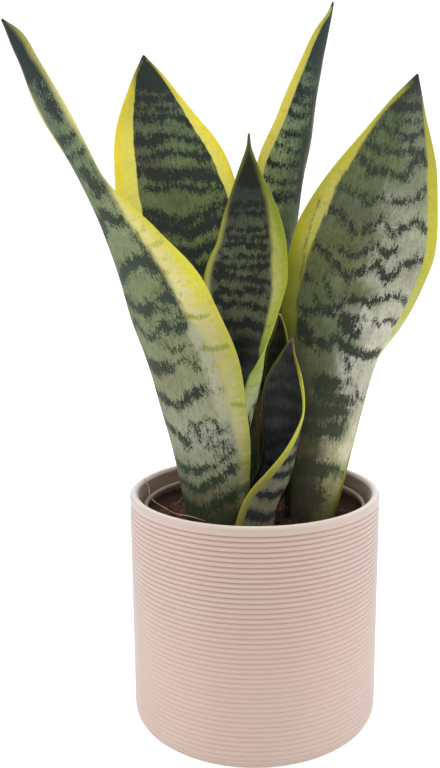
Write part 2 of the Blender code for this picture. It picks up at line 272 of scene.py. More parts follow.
@dataclass(frozen=True)
class PhotoCamera:
    """The camera that the photograph was taken with, fitted to the pot's outline."""

    distance: float = 0.528
    height: float = 0.286
    pitch: float = 10.62
    focal_pixels: float = 1015.0
    axis_pixel: float = 254.8
    frame: tuple[int, int] = (440, 768)
    sensor: float = 36.0

    def axes(self) -> tuple[np.ndarray, np.ndarray, np.ndarray]:
        """Find the camera's own directions.

        Returns:
            Its right, up and forward directions.
        """
        turn = math.radians(self.pitch)
        forward = np.array((0.0, math.cos(turn), -math.sin(turn)))
        up = np.array((0.0, math.sin(turn), math.cos(turn)))
        return np.array((1.0, 0.0, 0.0)), up, forward

    def eye(self) -> np.ndarray:
        """Where the camera stands."""
        return np.array((0.0, -self.distance, self.height))

    def project(self, points: np.ndarray) -> tuple[np.ndarray, np.ndarray]:
        """Carry points to the photograph.

        Args:
            points: Places in metres, the last axis being x, y, z.

        Returns:
            Their pixels, and their depths in metres.
        """
        right, up, forward = self.axes()
        away = points - self.eye()
        depth = away @ forward
        across = self.axis_pixel + self.focal_pixels * (away @ right) / depth
        down = self.frame[1] / 2 - self.focal_pixels * (away @ up) / depth
        return np.stack([across, down], axis=-1), depth

    def ray(self, pixel: Pixel) -> np.ndarray:
        """Find the direction from the eye through a pixel.

        Args:
            pixel: A pixel of the photograph.

        Returns:
            The direction, one unit forward.
        """
        right, up, forward = self.axes()
        across = (pixel[0] - self.axis_pixel) / self.focal_pixels
        above = (self.frame[1] / 2 - pixel[1]) / self.focal_pixels
        return forward + across * right + above * up

    def at_depth(self, pixel: Pixel, y: float) -> Vector:
        """Where the ray through a pixel meets the upright plane at y."""
        ray = self.ray(pixel)
        return Vector(self.eye() + ray * ((y + self.distance) / ray[1]))

    def create(self) -> None:
        """Make it the scene's camera."""
        data = bpy.data.cameras.new("photo_camera")
        data.sensor_width = self.sensor
        data.lens = self.sensor * self.focal_pixels / self.frame[1]
        data.shift_x = (self.frame[0] / 2 - self.axis_pixel) / self.frame[1]
        data.clip_start = 0.01
        made = bpy.data.objects.new("photo_camera", data)
        made.location = self.eye()
        made.rotation_euler = (math.radians(90 - self.pitch), 0.0, 0.0)
        bpy.context.scene.collection.objects.link(made)
        bpy.context.scene.camera = made


CAMERA = PhotoCamera()


def mesh_object(name: str, points: np.ndarray, faces: list, material: bpy.types.Material) -> bpy.types.Object:
    """Link a smooth object made of points and faces.

    Args:
        name: The object's name.
        points: Corners in metres.
        faces: Corner indices of each face.
        material: Its finish.

    Returns:
        The linked object.
    """
    mesh = bpy.data.meshes.new(name)
    mesh.from_pydata(np.asarray(points, float).reshape(-1, 3).tolist(), [], faces)
    mesh.validate()
    mesh.shade_smooth()
    mesh.materials.append(material)
    made = bpy.data.objects.new(name, mesh)
    bpy.context.scene.collection.objects.link(made)
    return made


def store(mesh: bpy.types.Mesh, name: str, values: np.ndarray) -> None:
    """Keep a vector for each corner point as a mesh attribute."""
    layer = mesh.attributes.new(name, "FLOAT_VECTOR", "POINT")
    layer.data.foreach_set("vector", np.asarray(values, np.float32).ravel())


def face_outward(made: bpy.types.Object) -> None:
    """Turn every face of a closed mesh to the outside.

    Args:
        made: The object whose mesh is turned.
    """
    shape = bmesh.new()
    shape.from_mesh(made.data)
    bmesh.ops.recalc_face_normals(shape, faces=shape.faces)
    shape.to_mesh(made.data)
    shape.free()


def report(made: bpy.types.Object) -> None:
    """Log a finished piece."""
    log.info("%s: %d faces", made.name, len(made.data.polygons))


def wall_of_quads(rings: int, sides: int, start: int = 0) -> tuple[np.ndarray, list]:
    """Join rings of points, one after the other, by quads.

    Args:
        rings: How many rings there are.
        sides: Points in each ring.
        start: Number of the first point.

    Returns:
        The number of each point, a row for each ring, and the faces.
    """
    index = start + np.arange(rings * sides).reshape(rings, sides)
    after = np.roll(index, -1, axis=1)
    faces = np.stack([index[:-1], after[:-1], after[1:], index[1:]], axis=-1)
    return index, faces.reshape(-1, 4).tolist()


def lathe(profile: list[tuple[float, float]], sides: int) -> tuple[np.ndarray, list]:
    """Turn a profile that starts and ends on the axis into a closed shell.

    Args:
        profile: Radius and height of each point.
        sides: Steps round the axis.

    Returns:
        Points and faces.
    """
    turn = np.linspace(0, 2 * math.pi, sides, endpoint=False)
    rings = np.array(profile[1:-1])
    around = np.stack([np.cos(turn), np.sin(turn)], axis=1)
    flat = rings[:, None, :1] * around[None]
    height = np.broadcast_to(rings[:, None, 1:], (len(rings), sides, 1))
    points = np.concatenate([flat, height], axis=2).reshape(-1, 3)
    first, last = len(points), len(points) + 1
    points = np.concatenate([points, [[0, 0, profile[0][1]], [0, 0, profile[-1][1]]]])
    index, faces = wall_of_quads(len(rings), sides)
    faces += [[first, int(b), int(a)] for a, b in zip(index[0], np.roll(index[0], -1))]
    faces += [[last, int(a), int(b)] for a, b in zip(index[-1], np.roll(index[-1], -1))]
    return points, faces


def tube(path: np.ndarray, radii: np.ndarray, sides: int, start: int = 0) -> tuple[np.ndarray, list]:
    """A closed tube along a path.

    Args:
        path: Points of its middle line.
        radii: Radius at each of them.
        sides: Corners of its section.
        start: Number of its first point.

    Returns:
        Points and faces.
    """
    along = np.gradient(path, axis=0)
    along /= np.linalg.norm(along, axis=1)[:, None] + 1e-12
    guide = np.array((0.3, 0.2, 0.93)) if abs(along[0, 2]) < 0.8 else np.array((1.0, 0.1, 0.0))
    side = np.cross(along, guide)
    side /= np.linalg.norm(side, axis=1)[:, None] + 1e-12
    over = np.cross(side, along)
    turn = np.linspace(0, 2 * math.pi, sides, endpoint=False)
    ring = np.cos(turn)[None, :, None] * side[:, None] + np.sin(turn)[None, :, None] * over[:, None]
    points = (path[:, None] + ring * np.asarray(radii)[:, None, None]).reshape(-1, 3)
    index, faces = wall_of_quads(len(path), sides, start)
    return points, [*faces, index[0, ::-1].tolist(), index[-1].tolist()]


def cubic(
    low: np.ndarray,
    high: np.ndarray,
    leaving: np.ndarray,
    arriving: np.ndarray,
    t: np.ndarray,
) -> np.ndarray:
    """Values a share t of the way from low to high, with these slopes at the two ends."""
    start = (2 * t**3 - 3 * t**2 + 1) * low + (t**3 - 2 * t**2 + t) * leaving
    return start + (3 * t**2 - 2 * t**3) * high + (t**3 - t**2) * arriving


def smooth_path(points: np.ndarray, steps: int) -> np.ndarray:
    """A smooth curve through a few points.

    Args:
        points: The points it passes through.
        steps: How many points it returns.

    Returns:
        Evenly numbered points along it.
    """
    points = np.asarray(points, float)
    slope = np.gradient(points, axis=0)
    wanted = np.linspace(0, len(points) - 1, steps)
    i = np.minimum(wanted.astype(int), len(points) - 2)
    return cubic(points[i], points[i + 1], slope[i], slope[i + 1], (wanted - i)[:, None])


class Face(Enum):
    """Which side of a blade is meant."""

    INNER = 1
    OUTER = -1


@dataclass(frozen=True)
class Station:
    """One section of a blade: keel in millimetres, width round the curve, facing and arc in degrees."""

    x: float
    y: float
    z: float
    width: float
    facing: float
    cup: float


@dataclass(frozen=True)
class BladeShape:
    """The curved surface that a blade is grown on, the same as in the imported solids."""

    stations: tuple[Station, ...]
    foot_thickness: float = 3.4 * MM
    tip_thickness: float = 1.1 * MM
    edge_thickness: float = 0.8 * MM
    margin_share: float = 0.4
    margin_wave: float = 0.7 * MM
    wave_length: float = 46 * MM
    tip_width: float = 0.9 * MM
    tip_crowding: float = 1.25

    def places(self, rows: int) -> np.ndarray:
        """Shares of the keel's length for this many rows, closer together towards the tip."""
        return 1 - (1 - np.linspace(0, 1, rows)) ** self.tip_crowding

    def values(self, places: np.ndarray) -> np.ndarray:
        """The stations' values on one smooth curve.

        Args:
            places: Shares of the keel's length, from 0 at the foot to 1 at the tip.

        Returns:
            A row of keel x, y, z, width, facing and cup for each place.
        """
        values = np.array([(s.x, s.y, s.z, s.width, s.facing, s.cup) for s in self.stations], float)
        at = np.concatenate([[0.0], np.cumsum(np.linalg.norm(np.diff(values[:, :3], axis=0), axis=1))])
        slope = np.empty_like(values)
        slope[1:-1] = (values[2:] - values[:-2]) / (at[2:] - at[:-2])[:, None]
        slope[0] = (values[1] - values[0]) / (at[1] - at[0])
        slope[-1] = (values[-1] - values[-2]) / (at[-1] - at[-2])
        wanted = places * at[-1]
        i = np.clip(np.searchsorted(at, wanted, side="right") - 1, 0, len(at) - 2)
        span = (at[i + 1] - at[i])[:, None]
        t = ((wanted - at[i]) / span[:, 0])[:, None]
        return cubic(values[i], values[i + 1], span * slope[i], span * slope[i + 1], t)

    def widths(self, places: np.ndarray) -> np.ndarray:
        """The blade's width round its curve at each place, in metres."""
        return np.maximum(self.values(places)[:, 3] * MM, self.tip_width)

    def surface(self, places: np.ndarray, across: np.ndarray) -> tuple[np.ndarray, np.ndarray, np.ndarray]:
        """Points on the blade's middle surface.

        Args:
            places: Shares of the keel's length, one for each row.
            across: Shares of the half width from -1 to 1, a row of them for each place.

        Returns:
            Points, the unit directions towards the inner face, and distances along the keel.
        """
        values = self.values(places)
        keel = values[:, :3] * MM
        along = np.gradient(keel, axis=0)
        along /= np.linalg.norm(along, axis=1)[:, None]
        facing = np.radians(values[:, 4])
        hollow = np.stack([np.cos(facing), np.sin(facing), np.zeros_like(facing)], axis=1)
        hollow -= (hollow * along).sum(axis=1)[:, None] * along
        hollow /= np.linalg.norm(hollow, axis=1)[:, None]
        side = np.cross(along, hollow)
        width = np.maximum(values[:, 3] * MM, self.tip_width)
        cup = np.radians(values[:, 5])
        radius = (width / cup)[:, None]
        turn = across * cup[:, None] / 2
        reached = np.concatenate([[0.0], np.cumsum(np.linalg.norm(np.diff(keel, axis=0), axis=1))])
        wave = np.sin(2 * math.pi * reached[-1] / self.wave_length * places)[:, None]
        lift = self.margin_wave * wave * np.abs(across) ** 3 * np.minimum(width / width.max(), 1)[:, None]
        outward = (radius * np.sin(turn))[..., None] * side[:, None]
        inward = (radius * (1 - np.cos(turn)) + lift)[..., None] * hollow[:, None]
        inner = np.cos(turn)[..., None] * hollow[:, None] - np.sin(turn)[..., None] * side[:, None]
        return keel[:, None] + outward + inward, inner, reached

    def thickness(self, places: np.ndarray, across: np.ndarray) -> np.ndarray:
        """Find how thick the blade is, most along the keel and near the foot.

        Args:
            places: Shares of the keel's length, one for each row.
            across: Shares of the half width, a row of them for each place.

        Returns:
            Thicknesses in metres.
        """
        tip_share = self.tip_thickness / self.foot_thickness
        body = 1 - (1 - tip_share) * places[:, None]
        share = self.margin_share + (1 - self.margin_share) * (1 - across**2)
        return np.maximum(self.foot_thickness * body * share, self.edge_thickness)


class LeafChart:
    """Carries pixels of the photograph onto a blade's surface."""

    ROWS = 420
    COLUMNS = 81
    OTHER_FACE = 1000.0

    def __init__(self, shape: BladeShape) -> None:
        """Project a fine grid of the blade's surface.

        Args:
            shape: The blade's shape.
        """
        places = shape.places(self.ROWS)
        across = np.broadcast_to(np.linspace(-1, 1, self.COLUMNS), (self.ROWS, self.COLUMNS))
        points, inner, reached = shape.surface(places, across)
        self.pixels, self.depth = CAMERA.project(points)
        self.toward = ((CAMERA.eye() - points) * inner).sum(axis=-1)
        self.across = across * shape.widths(places)[:, None] / 2 / MM
        self.along = np.broadcast_to((reached / MM)[:, None], across.shape)

    def locate(self, pixels: tuple[Pixel, ...], face: Face) -> np.ndarray:
        """Find the places of pixels on one face of the blade.

        Args:
            pixels: Pixels of the photograph.
            face: The face that shows there.

        Returns:
            Millimetres across from the keel and along from the foot, a row for each pixel.
        """
        hidden = self.toward * face.value < 0
        found = []
        for pixel in pixels:
            far = np.hypot(*(self.pixels - np.array(pixel)).transpose(2, 0, 1)) + self.OTHER_FACE * hidden
            i = np.unravel_index(np.argmin(far), far.shape)
            found.append((self.across[i], self.along[i]))
        return np.array(found)


@dataclass(frozen=True)
class Band:
    """A dark line drawn through pixels: half its width in millimetres, and whether it runs to both edges."""

    half: float
    pixels: tuple[Pixel, ...]
    full: bool = True
    face: Face | None = None


def bar(half: float, *pixels: Pixel, face: Face | None = None) -> Band:
    """A band that runs on to both edges of the blade."""
    return Band(half, pixels, True, face)


def stroke(half: float, *pixels: Pixel) -> Band:
    """A line that ends where its pixels end."""
    return Band(half, pixels, False)


@dataclass(frozen=True)
class Margin:
    """The inner line of a yellow margin.

    Pixels draw it where it shows, and the width in millimetres holds where none do. The span is the part of
    the blade's length that has the margin, from 0 at the foot to 1 at the tip.
    """

    width: float
    pixels: tuple[Pixel, ...] = ()
    span: tuple[float, float] = (-0.1, 1.1)


Ramp = tuple[tuple[float, str], ...]


def shades(places: tuple[float, ...], *codes: str) -> Ramp:
    """Pair places along a blade with the display colours there."""
    return tuple(zip(places, codes, strict=True))


@dataclass(frozen=True)
class Patch:
    """A soft oval patch: its centre's pixel, its half sizes in millimetres and whether it is a pale one."""

    pixel: Pixel
    across: float
    along: float
    pale: bool = False


class Grain(Enum):
    """Noise patterns of a blade: cells for each millimetre across and along, octaves and roughness."""

    WIDE = ((0.11, 0.07, 1.0), 1.0)
    BLOTCH = ((0.30, 0.26, 1.0), 3.0, 0.6)
    STREAK = ((0.95, 0.22, 1.0), 3.0, 0.6)
    FINE = ((1.5, 0.9, 1.0), 2.0, 0.6)
    TONE = ((0.06, 0.045, 1.0), 2.0)
    LINES = ((1.3, 0.06, 1.0), 2.0)
    RIBS = ((1.3, 0.012, 1.0), 2.0)
    PORES = ((6.0, 2.0, 1.0), 2.0)
    WAX = ((0.2, 0.1, 1.0), 2.0)
    CROSS_MARK = ((0.10, 0.30, 1.0), 3.0)
    FRECKLE = ((0.9, 0.7, 1.0), 2.0)


class Finish:
    """What all finishes share: the making of the material that they shade."""

    def shade(self, tree: ShaderTree) -> None:
        """Build the nodes; each finish has its own."""
        raise NotImplementedError

    def material(self, name: str) -> bpy.types.Material:
        """Make the finish's material.

        Args:
            name: The material's name.

        Returns:
            The material.
        """
        made, tree = new_material(name)
        self.shade(tree)
        return made


@dataclass(frozen=True)
class LeafFinish(Finish):
    """How one blade is coloured.

    The ramps run from the foot at 0 to the tip at 1. The left ramp colours the light ground of the shown face
    on the side with negative places across, and the right ramp the other side. On some blades the ramps also
    carry painted sheen and painted shade: one side lighter or darker, dark hollows and a darker foot.
    """

    left: Ramp
    right: Ramp
    other: Ramp
    dark: Ramp
    rim: Ramp
    rim_inner: Ramp
    rim_left: Ramp = ()
    cross: str = "8b8f2e"
    vein: str = "4f6430"
    patch: str = "6a6450"
    pale: str = "c4c0a0"
    tip: str = "3a423e"
    tip_length: float = 8.0
    blend: tuple[float, float] = (-0.7, 0.7)
    over: tuple[float, float] = (0.0, 0.0)
    # How far each noise moves the outlines of the bands, in millimetres.
    wide: float = 3.5
    blotch: float = 6.0
    streak: float = 7.5
    fine: float = 9.0
    # How strongly the ground varies, and how the bands fade out.
    contrast: float = 1.0
    soft: float = 0.7
    halo: float = 2.4
    halo_amount: float = 0.45
    specks: float = 0.2
    margin_soft: float = 0.8
    margin_ragged: float = 4.0
    cross_amount: float = 0.5
    lobes: float = 0.9
    roughness: float = 0.5
    specular: float = 0.15
    relief: float = 0.35
    relief_depth: float = 0.35 * MM
    worn_edge: str = "8a7a3c"
    margin_reach: float = 6.0
    # The levels between which each mark fades in.
    speck_levels: tuple[float, float] = (-0.04, -0.16)
    pale_levels: tuple[float, float] = (0.0, 0.7)
    vein_levels: tuple[float, float] = (0.9, -0.5)
    edge_levels: tuple[float, float] = (0.45, 0.05)
    green_levels: tuple[float, float] = (0.03, 0.24)
    inner_levels: tuple[float, float] = (0.05, 0.8)

    def shade(self, tree: ShaderTree) -> None:
        """Shade the blade.

        Args:
            tree: The material's nodes.
        """
        place = tree.attribute("leaf_place")
        band, margin, edge = tree.parts(tree.attribute("leaf_marks"))
        share, from_tip, side = tree.parts(tree.attribute("leaf_share"))
        patch, shown, rim_share = tree.parts(tree.attribute("leaf_face"))
        vein, pale, _ = tree.parts(tree.attribute("leaf_lines"))
        wide = tree.noise(place, *Grain.WIDE.value)
        blotch = tree.noise(place, *Grain.BLOTCH.value)
        streak = tree.noise(place, *Grain.STREAK.value)
        fine = tree.noise(place, *Grain.FINE.value)
        tone = tree.noise(place, *Grain.TONE.value)
        lines = tree.noise(place, *Grain.LINES.value)
        drift = wide * self.wide + blotch * self.blotch + streak * self.streak + fine * self.fine
        ragged = band + pale * 5.0 + drift
        speck = (fine + streak * 0.8).step(*self.speck_levels) * self.specks
        halo = ragged.step(self.halo, 0.0) * self.halo_amount
        dark = ragged.step(self.soft, -self.soft)
        ground = tree.mix(
            (side + tone * 1.5).step(*self.blend),
            tree.ramp(share, self.left),
            tree.ramp(share, self.right),
        )
        ground = tree.mix(shown, tree.ramp(share, self.other), ground)
        varied = blotch * 0.6 + streak * 0.3 + fine * 0.3 + lines * 0.35 + tone * 0.7
        ground = tree.tint(ground, 1.0 + varied * self.contrast)
        ground = tree.mix(patch * (0.75 + fine * 2.0), ground, colour(self.patch))
        ground = tree.mix((pale + streak * 1.2 - 0.2).step(*self.pale_levels), ground, colour(self.pale))
        shade = tree.tint(tree.ramp(share, self.dark), 1.0 + streak * 0.6 + fine * 0.5)
        body = tree.mix(dark.at_least(halo + speck), ground, shade)
        rim = self.margin_colour(tree, place, share, rim_share, streak, side)
        width = (edge - margin).at_most(self.margin_reach) * (self.margin_ragged / self.margin_reach)
        inside = (margin + streak * width).step(-self.margin_soft, self.margin_soft)
        if self.over[1]:
            crossing = (share + tone * 0.1).step(self.over[1], self.over[0])
            inside = inside.at_least(dark * crossing * 0.85)
        skin = tree.mix(inside, rim, body)
        line = (vein + streak * 2.4 + fine * 1.6).step(*self.vein_levels)
        skin = tree.mix(line * 0.7, skin, colour(self.vein))
        skin = tree.mix(edge.step(*self.edge_levels) * 0.35, skin, colour(self.worn_edge))
        tip = (from_tip + streak * 5.0).step(self.tip_length, self.tip_length * 0.4)
        skin = tree.mix(tip, skin, colour(self.tip))
        ribs = tree.noise(place, *Grain.RIBS.value)
        pores = tree.noise(place, *Grain.PORES.value)
        tree.surface(
            {
                "Base Color": skin,
                "Roughness": tree.noise(place, *Grain.WAX.value) * 0.2 + self.roughness,
                "Specular IOR Level": self.specular,
                "Normal": tree.bump(ribs + pores * 0.25, self.relief, self.relief_depth),
            }
        )

    def margin_colour(
        self,
        tree: ShaderTree,
        place: Signal,
        share: Signal,
        rim_share: Signal,
        streak: Signal,
        side: Signal,
    ) -> Signal:
        """The yellow margin, paler towards the green, with greener cross-marks.

        Args:
            tree: The tree it is built in.
            place: Millimetres across and along.
            share: Share of the blade's length.
            rim_share: From 0 at the edge to 1 at the margin's inner line.
            streak: Streaky noise.
            side: Place across, from -1 to 1.

        Returns:
            The colour.
        """
        cross = tree.noise(place, *Grain.CROSS_MARK.value)
        freckle = tree.noise(place, *Grain.FRECKLE.value)
        marked = cross + freckle * 0.35 + streak * 0.25
        green = marked.step(*self.green_levels) * self.cross_amount
        inner = (rim_share + freckle * 0.4 + cross * self.lobes).step(*self.inner_levels)
        yellow = tree.mix(inner, tree.ramp(share, self.rim), tree.ramp(share, self.rim_inner))
        if self.rim_left:
            yellow = tree.mix(side.step(-0.1, 0.1), tree.ramp(share, self.rim_left), yellow)
        yellow = tree.tint(yellow, 1.0 + streak * 0.25 + freckle * 0.15)
        return tree.mix(green, yellow, colour(self.cross))


def segment_distance(points: np.ndarray, start: np.ndarray, end: np.ndarray) -> np.ndarray:
    """Measure from flat points to the straight line between two others.

    Args:
        points: Flat points, the last axis being across and along.
        start: One end of the line.
        end: Its other end.

    Returns:
        The distances.
    """
    span = end - start
    t = np.clip(((points - start) @ span) / max(float(span @ span), 1e-9), 0, 1)
    return np.linalg.norm(points - start - t[..., None] * span, axis=-1)


def line_field(lines: list[tuple[float, np.ndarray]], grid: np.ndarray) -> np.ndarray:
    """Distance from each point to the outline of the nearest line, negative inside it.

    Args:
        lines: Half width and points across and along of each line.
        grid: Millimetres across and along of each point.

    Returns:
        The distances in millimetres.
    """
    nearest = np.full(grid.shape[:2], FAR)
    for width, line in lines:
        for start, end in zip(line[:-1], line[1:]):
            nearest = np.minimum(nearest, segment_distance(grid, start, end) - width)
    return np.clip(nearest, DEEP, FAR)


def round_blade(inner: np.ndarray, outer: np.ndarray) -> np.ndarray:
    """Values round a blade: across its inner face and back across its outer one."""
    return np.concatenate([inner, outer[:, -2:0:-1]], axis=1)


@dataclass(frozen=True)
class BladeRows:
    """The rows of a blade's shell: shares across, millimetres from the foot and half widths."""

    chart: LeafChart
    across: np.ndarray
    along: np.ndarray
    half: np.ndarray

    def half_at(self, along: float) -> float:
        """Half the blade's width at a distance from the foot."""
        return float(np.interp(along, self.along, self.half))


@dataclass
class Leaf:
    """One blade: its shape, the marks drawn on it and its finish."""

    node: str
    shape: BladeShape
    face: Face
    finish: LeafFinish
    bands: tuple[Band, ...]
    left: Margin
    right: Margin
    filled: tuple[tuple[float, float], ...] = ()
    patches: tuple[Patch, ...] = ()
    veins: tuple[Band, ...] = ()
    spacing: float = 13.0
    seed: int = 1
    row_pitch: float = 1.1
    columns: int = 44
    edge_steps: tuple[float, ...] = (0.0, 0.1, 0.3, 0.6)
    edge_radius: float = 0.6
    span_fade: float = 0.05
    drawn_fade: float = 40.0
    plain_share: float = 0.3
    drawn_share: float = 0.75
    # Bands laid by a seeded rule where the photograph shows none.
    filled_half: tuple[float, float] = (0.8, 2.6)
    filled_spacing: tuple[float, float] = (0.7, 1.3)
    filled_core: float = 0.2
    filled_tilt: float = 3.0
    # How a band zigzags on to the edges.
    drift: tuple[float, float] = (-0.15, 0.25)
    zigzag: tuple[float, float] = (3.0, 6.0)
    rise: float = 3.5
    drift_rise: float = 5.0
    patch_edge: float = 1.4
    noise_layer: float = 7.31

    def across_rows(self, places: np.ndarray) -> np.ndarray:
        """Places across for each row: even over the blade and closer at its two edges.

        Args:
            places: Shares of the keel's length.

        Returns:
            Shares of the half width from -1 to 1, a row for each place.
        """
        half = self.shape.widths(places)[:, None] / 2 / MM
        steps = np.array(self.edge_steps)[None] * np.minimum(half / 2.0, 1.0)
        edge = 1 - steps / half
        inner = np.linspace(-1, 1, self.columns)[None, 1:-1] * edge[:, -1:]
        return np.concatenate([-edge, inner, edge[:, ::-1]], axis=1)

    def margin_line(self, margin: Margin, rows: BladeRows, sign: int) -> np.ndarray:
        """Width of a margin at each row, in millimetres.

        Args:
            margin: The margin's drawn line.
            rows: The blade's rows.
            sign: Which edge, -1 or 1 across.

        Returns:
            A width for each row.
        """
        along, half = rows.along, rows.half
        share = along / along[-1]
        begun = np.clip((share - margin.span[0]) / self.span_fade, 0, 1)
        kept = begun * np.clip((margin.span[1] - share) / self.span_fade, 0, 1)
        if not margin.pixels:
            return np.minimum(margin.width, half * self.plain_share) * kept
        found = rows.chart.locate(margin.pixels, self.face)
        found = found[np.argsort(found[:, 1])]
        there = np.interp(found[:, 1], along, half)
        drawn = np.maximum(there - found[:, 0] * sign, 0.0)
        width = np.interp(along, found[:, 1], drawn)
        fade = np.clip((found[0, 1] - along) / self.drawn_fade, 0, 1)
        width = width * (1 - fade) + margin.width * fade
        return np.minimum(width, half * self.drawn_share) * kept

    def strokes(self, rows: BladeRows) -> list[tuple[float, np.ndarray]]:
        """The dark bands as lines on the flattened blade.

        Args:
            rows: The blade's rows.

        Returns:
            Half width and points across and along of each band.
        """
        random = np.random.default_rng(self.seed)
        lines = []
        for band in self.bands:
            found = rows.chart.locate(band.pixels, band.face or self.face)
            if band.full:
                found = self.extended(found[np.argsort(found[:, 0])], rows, random)
            lines.append((band.half, found))
        for low, high in self.filled:
            at = low + self.spacing * 0.5
            while at < high:
                core = rows.half_at(at) * self.filled_core
                tilt = random.uniform(-self.filled_tilt, self.filled_tilt)
                start = np.array([[-core, at], [core, at + tilt]])
                width = random.uniform(*self.filled_half)
                lines.append((width, self.extended(start, rows, random)))
                at += self.spacing * random.uniform(*self.filled_spacing)
        return lines

    def extended(self, line: np.ndarray, rows: BladeRows, random: np.random.Generator) -> np.ndarray:
        """Carry a band on to both edges in a zigzag.

        Args:
            line: Its drawn points, sorted across.
            rows: The blade's rows.
            random: Seeded numbers.

        Returns:
            The points with those of both ends added.
        """
        reach = rows.half_at(line[:, 1].mean())
        ends = []
        for point, sign in ((line[0], -1), (line[-1], 1)):
            added = []
            across, height = point
            drift = random.uniform(*self.drift)
            while sign * across < reach:
                across += sign * random.uniform(*self.zigzag)
                height += random.uniform(-self.rise, self.rise) + drift * self.drift_rise
                added.append((across, height))
            ends.append(added)
        return np.array([*reversed(ends[0]), *map(tuple, line), *ends[1]])

    def patch_field(self, chart: LeafChart, grid: np.ndarray, pale: bool) -> np.ndarray:
        """Strength of the soft patches at each point.

        Args:
            chart: The blade's chart.
            grid: Millimetres across and along of each point.
            pale: Whether the pale patches are meant or the faint ones.

        Returns:
            Shares from 0 to 1.
        """
        total = np.zeros(grid.shape[:2])
        for patch in self.patches:
            if patch.pale is pale:
                centre = chart.locate((patch.pixel,), self.face)[0]
                far = np.hypot(*((grid - centre) / (patch.across, patch.along)).transpose(2, 0, 1))
                total = np.maximum(total, np.clip(self.patch_edge - far, 0, 1))
        return total

    def build(self) -> bpy.types.Object:
        """Make the blade as a closed shell and dress it.

        Returns:
            The blade's object.
        """
        length = self.shape.surface(self.shape.places(60), np.zeros((60, 1)))[2][-1] / MM
        count = int(length / self.row_pitch)
        places = self.shape.places(count)
        across = self.across_rows(places)
        middle, inner, reached = self.shape.surface(places, across)
        half = self.shape.widths(places) / 2 / MM
        thickness = self.shape.thickness(places, across)
        to_edge = (1 - np.abs(across)) * half[:, None]
        rounding = np.clip(to_edge / np.minimum(self.edge_radius, half[:, None] * self.plain_share), 0, 1)
        offset = (thickness / 2 * np.sqrt(1 - (1 - rounding) ** 2))[..., None] * inner
        ring = round_blade(middle + offset, middle - offset)
        index, faces = wall_of_quads(count, ring.shape[1])
        faces += [index[0, ::-1].tolist(), index[-1].tolist()]
        made = mesh_object(self.node + "_blade", ring, faces, self.finish.material(self.node + "_skin"))
        self.store_marks(made.data, BladeRows(LeafChart(self.shape), across, reached / MM, half))
        face_outward(made)
        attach(made, "root")
        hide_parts(self.node)
        report(made)
        return made

    def store_marks(self, mesh: bpy.types.Mesh, rows: BladeRows) -> None:
        """Keep on the mesh what the finish reads: places, bands, margins, veins and patches.

        Args:
            mesh: The blade's mesh.
            rows: The blade's rows.
        """
        across, half = rows.across, rows.half[:, None]
        along = np.broadcast_to(rows.along[:, None], across.shape)
        flat = np.stack([across * half, along], axis=-1)
        to_edge = (1 - np.abs(across)) * half
        left = self.margin_line(self.left, rows, -1)[:, None]
        right = self.margin_line(self.right, rows, 1)[:, None]
        from_left = (1 + across) * half - left
        from_right = (1 - across) * half - right
        left_share = (1 + across) * half / (left + 0.01)
        rim = np.clip(np.where(from_left < from_right, left_share, to_edge / (right + 0.01)), 0, 2)
        band = line_field(self.strokes(rows), flat)
        marks = np.stack([band, np.minimum(from_left, from_right), to_edge], axis=-1)
        share = np.broadcast_to((rows.along / rows.along[-1])[:, None], across.shape)
        spread = np.stack([share, rows.along[-1] - along, across], axis=-1)
        place = np.concatenate([flat, np.full((*across.shape, 1), self.seed * self.noise_layer)], axis=-1)
        for name, values in (("leaf_place", place), ("leaf_marks", marks), ("leaf_share", spread)):
            store(mesh, name, round_blade(values, values))
        patch = self.patch_field(rows.chart, flat, pale=False)
        both = []
        for face in (Face.INNER, Face.OUTER):
            shown = float(face is self.face)
            both.append(np.stack([patch * shown, np.full(across.shape, shown), rim], axis=-1))
        store(mesh, "leaf_face", round_blade(*both))
        veins = [(vein.half, rows.chart.locate(vein.pixels, vein.face or self.face)) for vein in self.veins]
        pale = self.patch_field(rows.chart, flat, pale=True)
        drawn = np.stack([line_field(veins, flat), pale, np.zeros(across.shape)], axis=-1)
        hidden = np.broadcast_to((FAR, 0.0, 0.0), drawn.shape)
        sides = (drawn, hidden) if self.face is Face.INNER else (hidden, drawn)
        store(mesh, "leaf_lines", round_blade(*sides))


def blade(*rows: tuple[float, float, float, float, float, float]) -> BladeShape:
    """A blade's shape from rows of x, y, z, width, facing and cup."""
    return BladeShape(tuple(Station(*row) for row in rows))


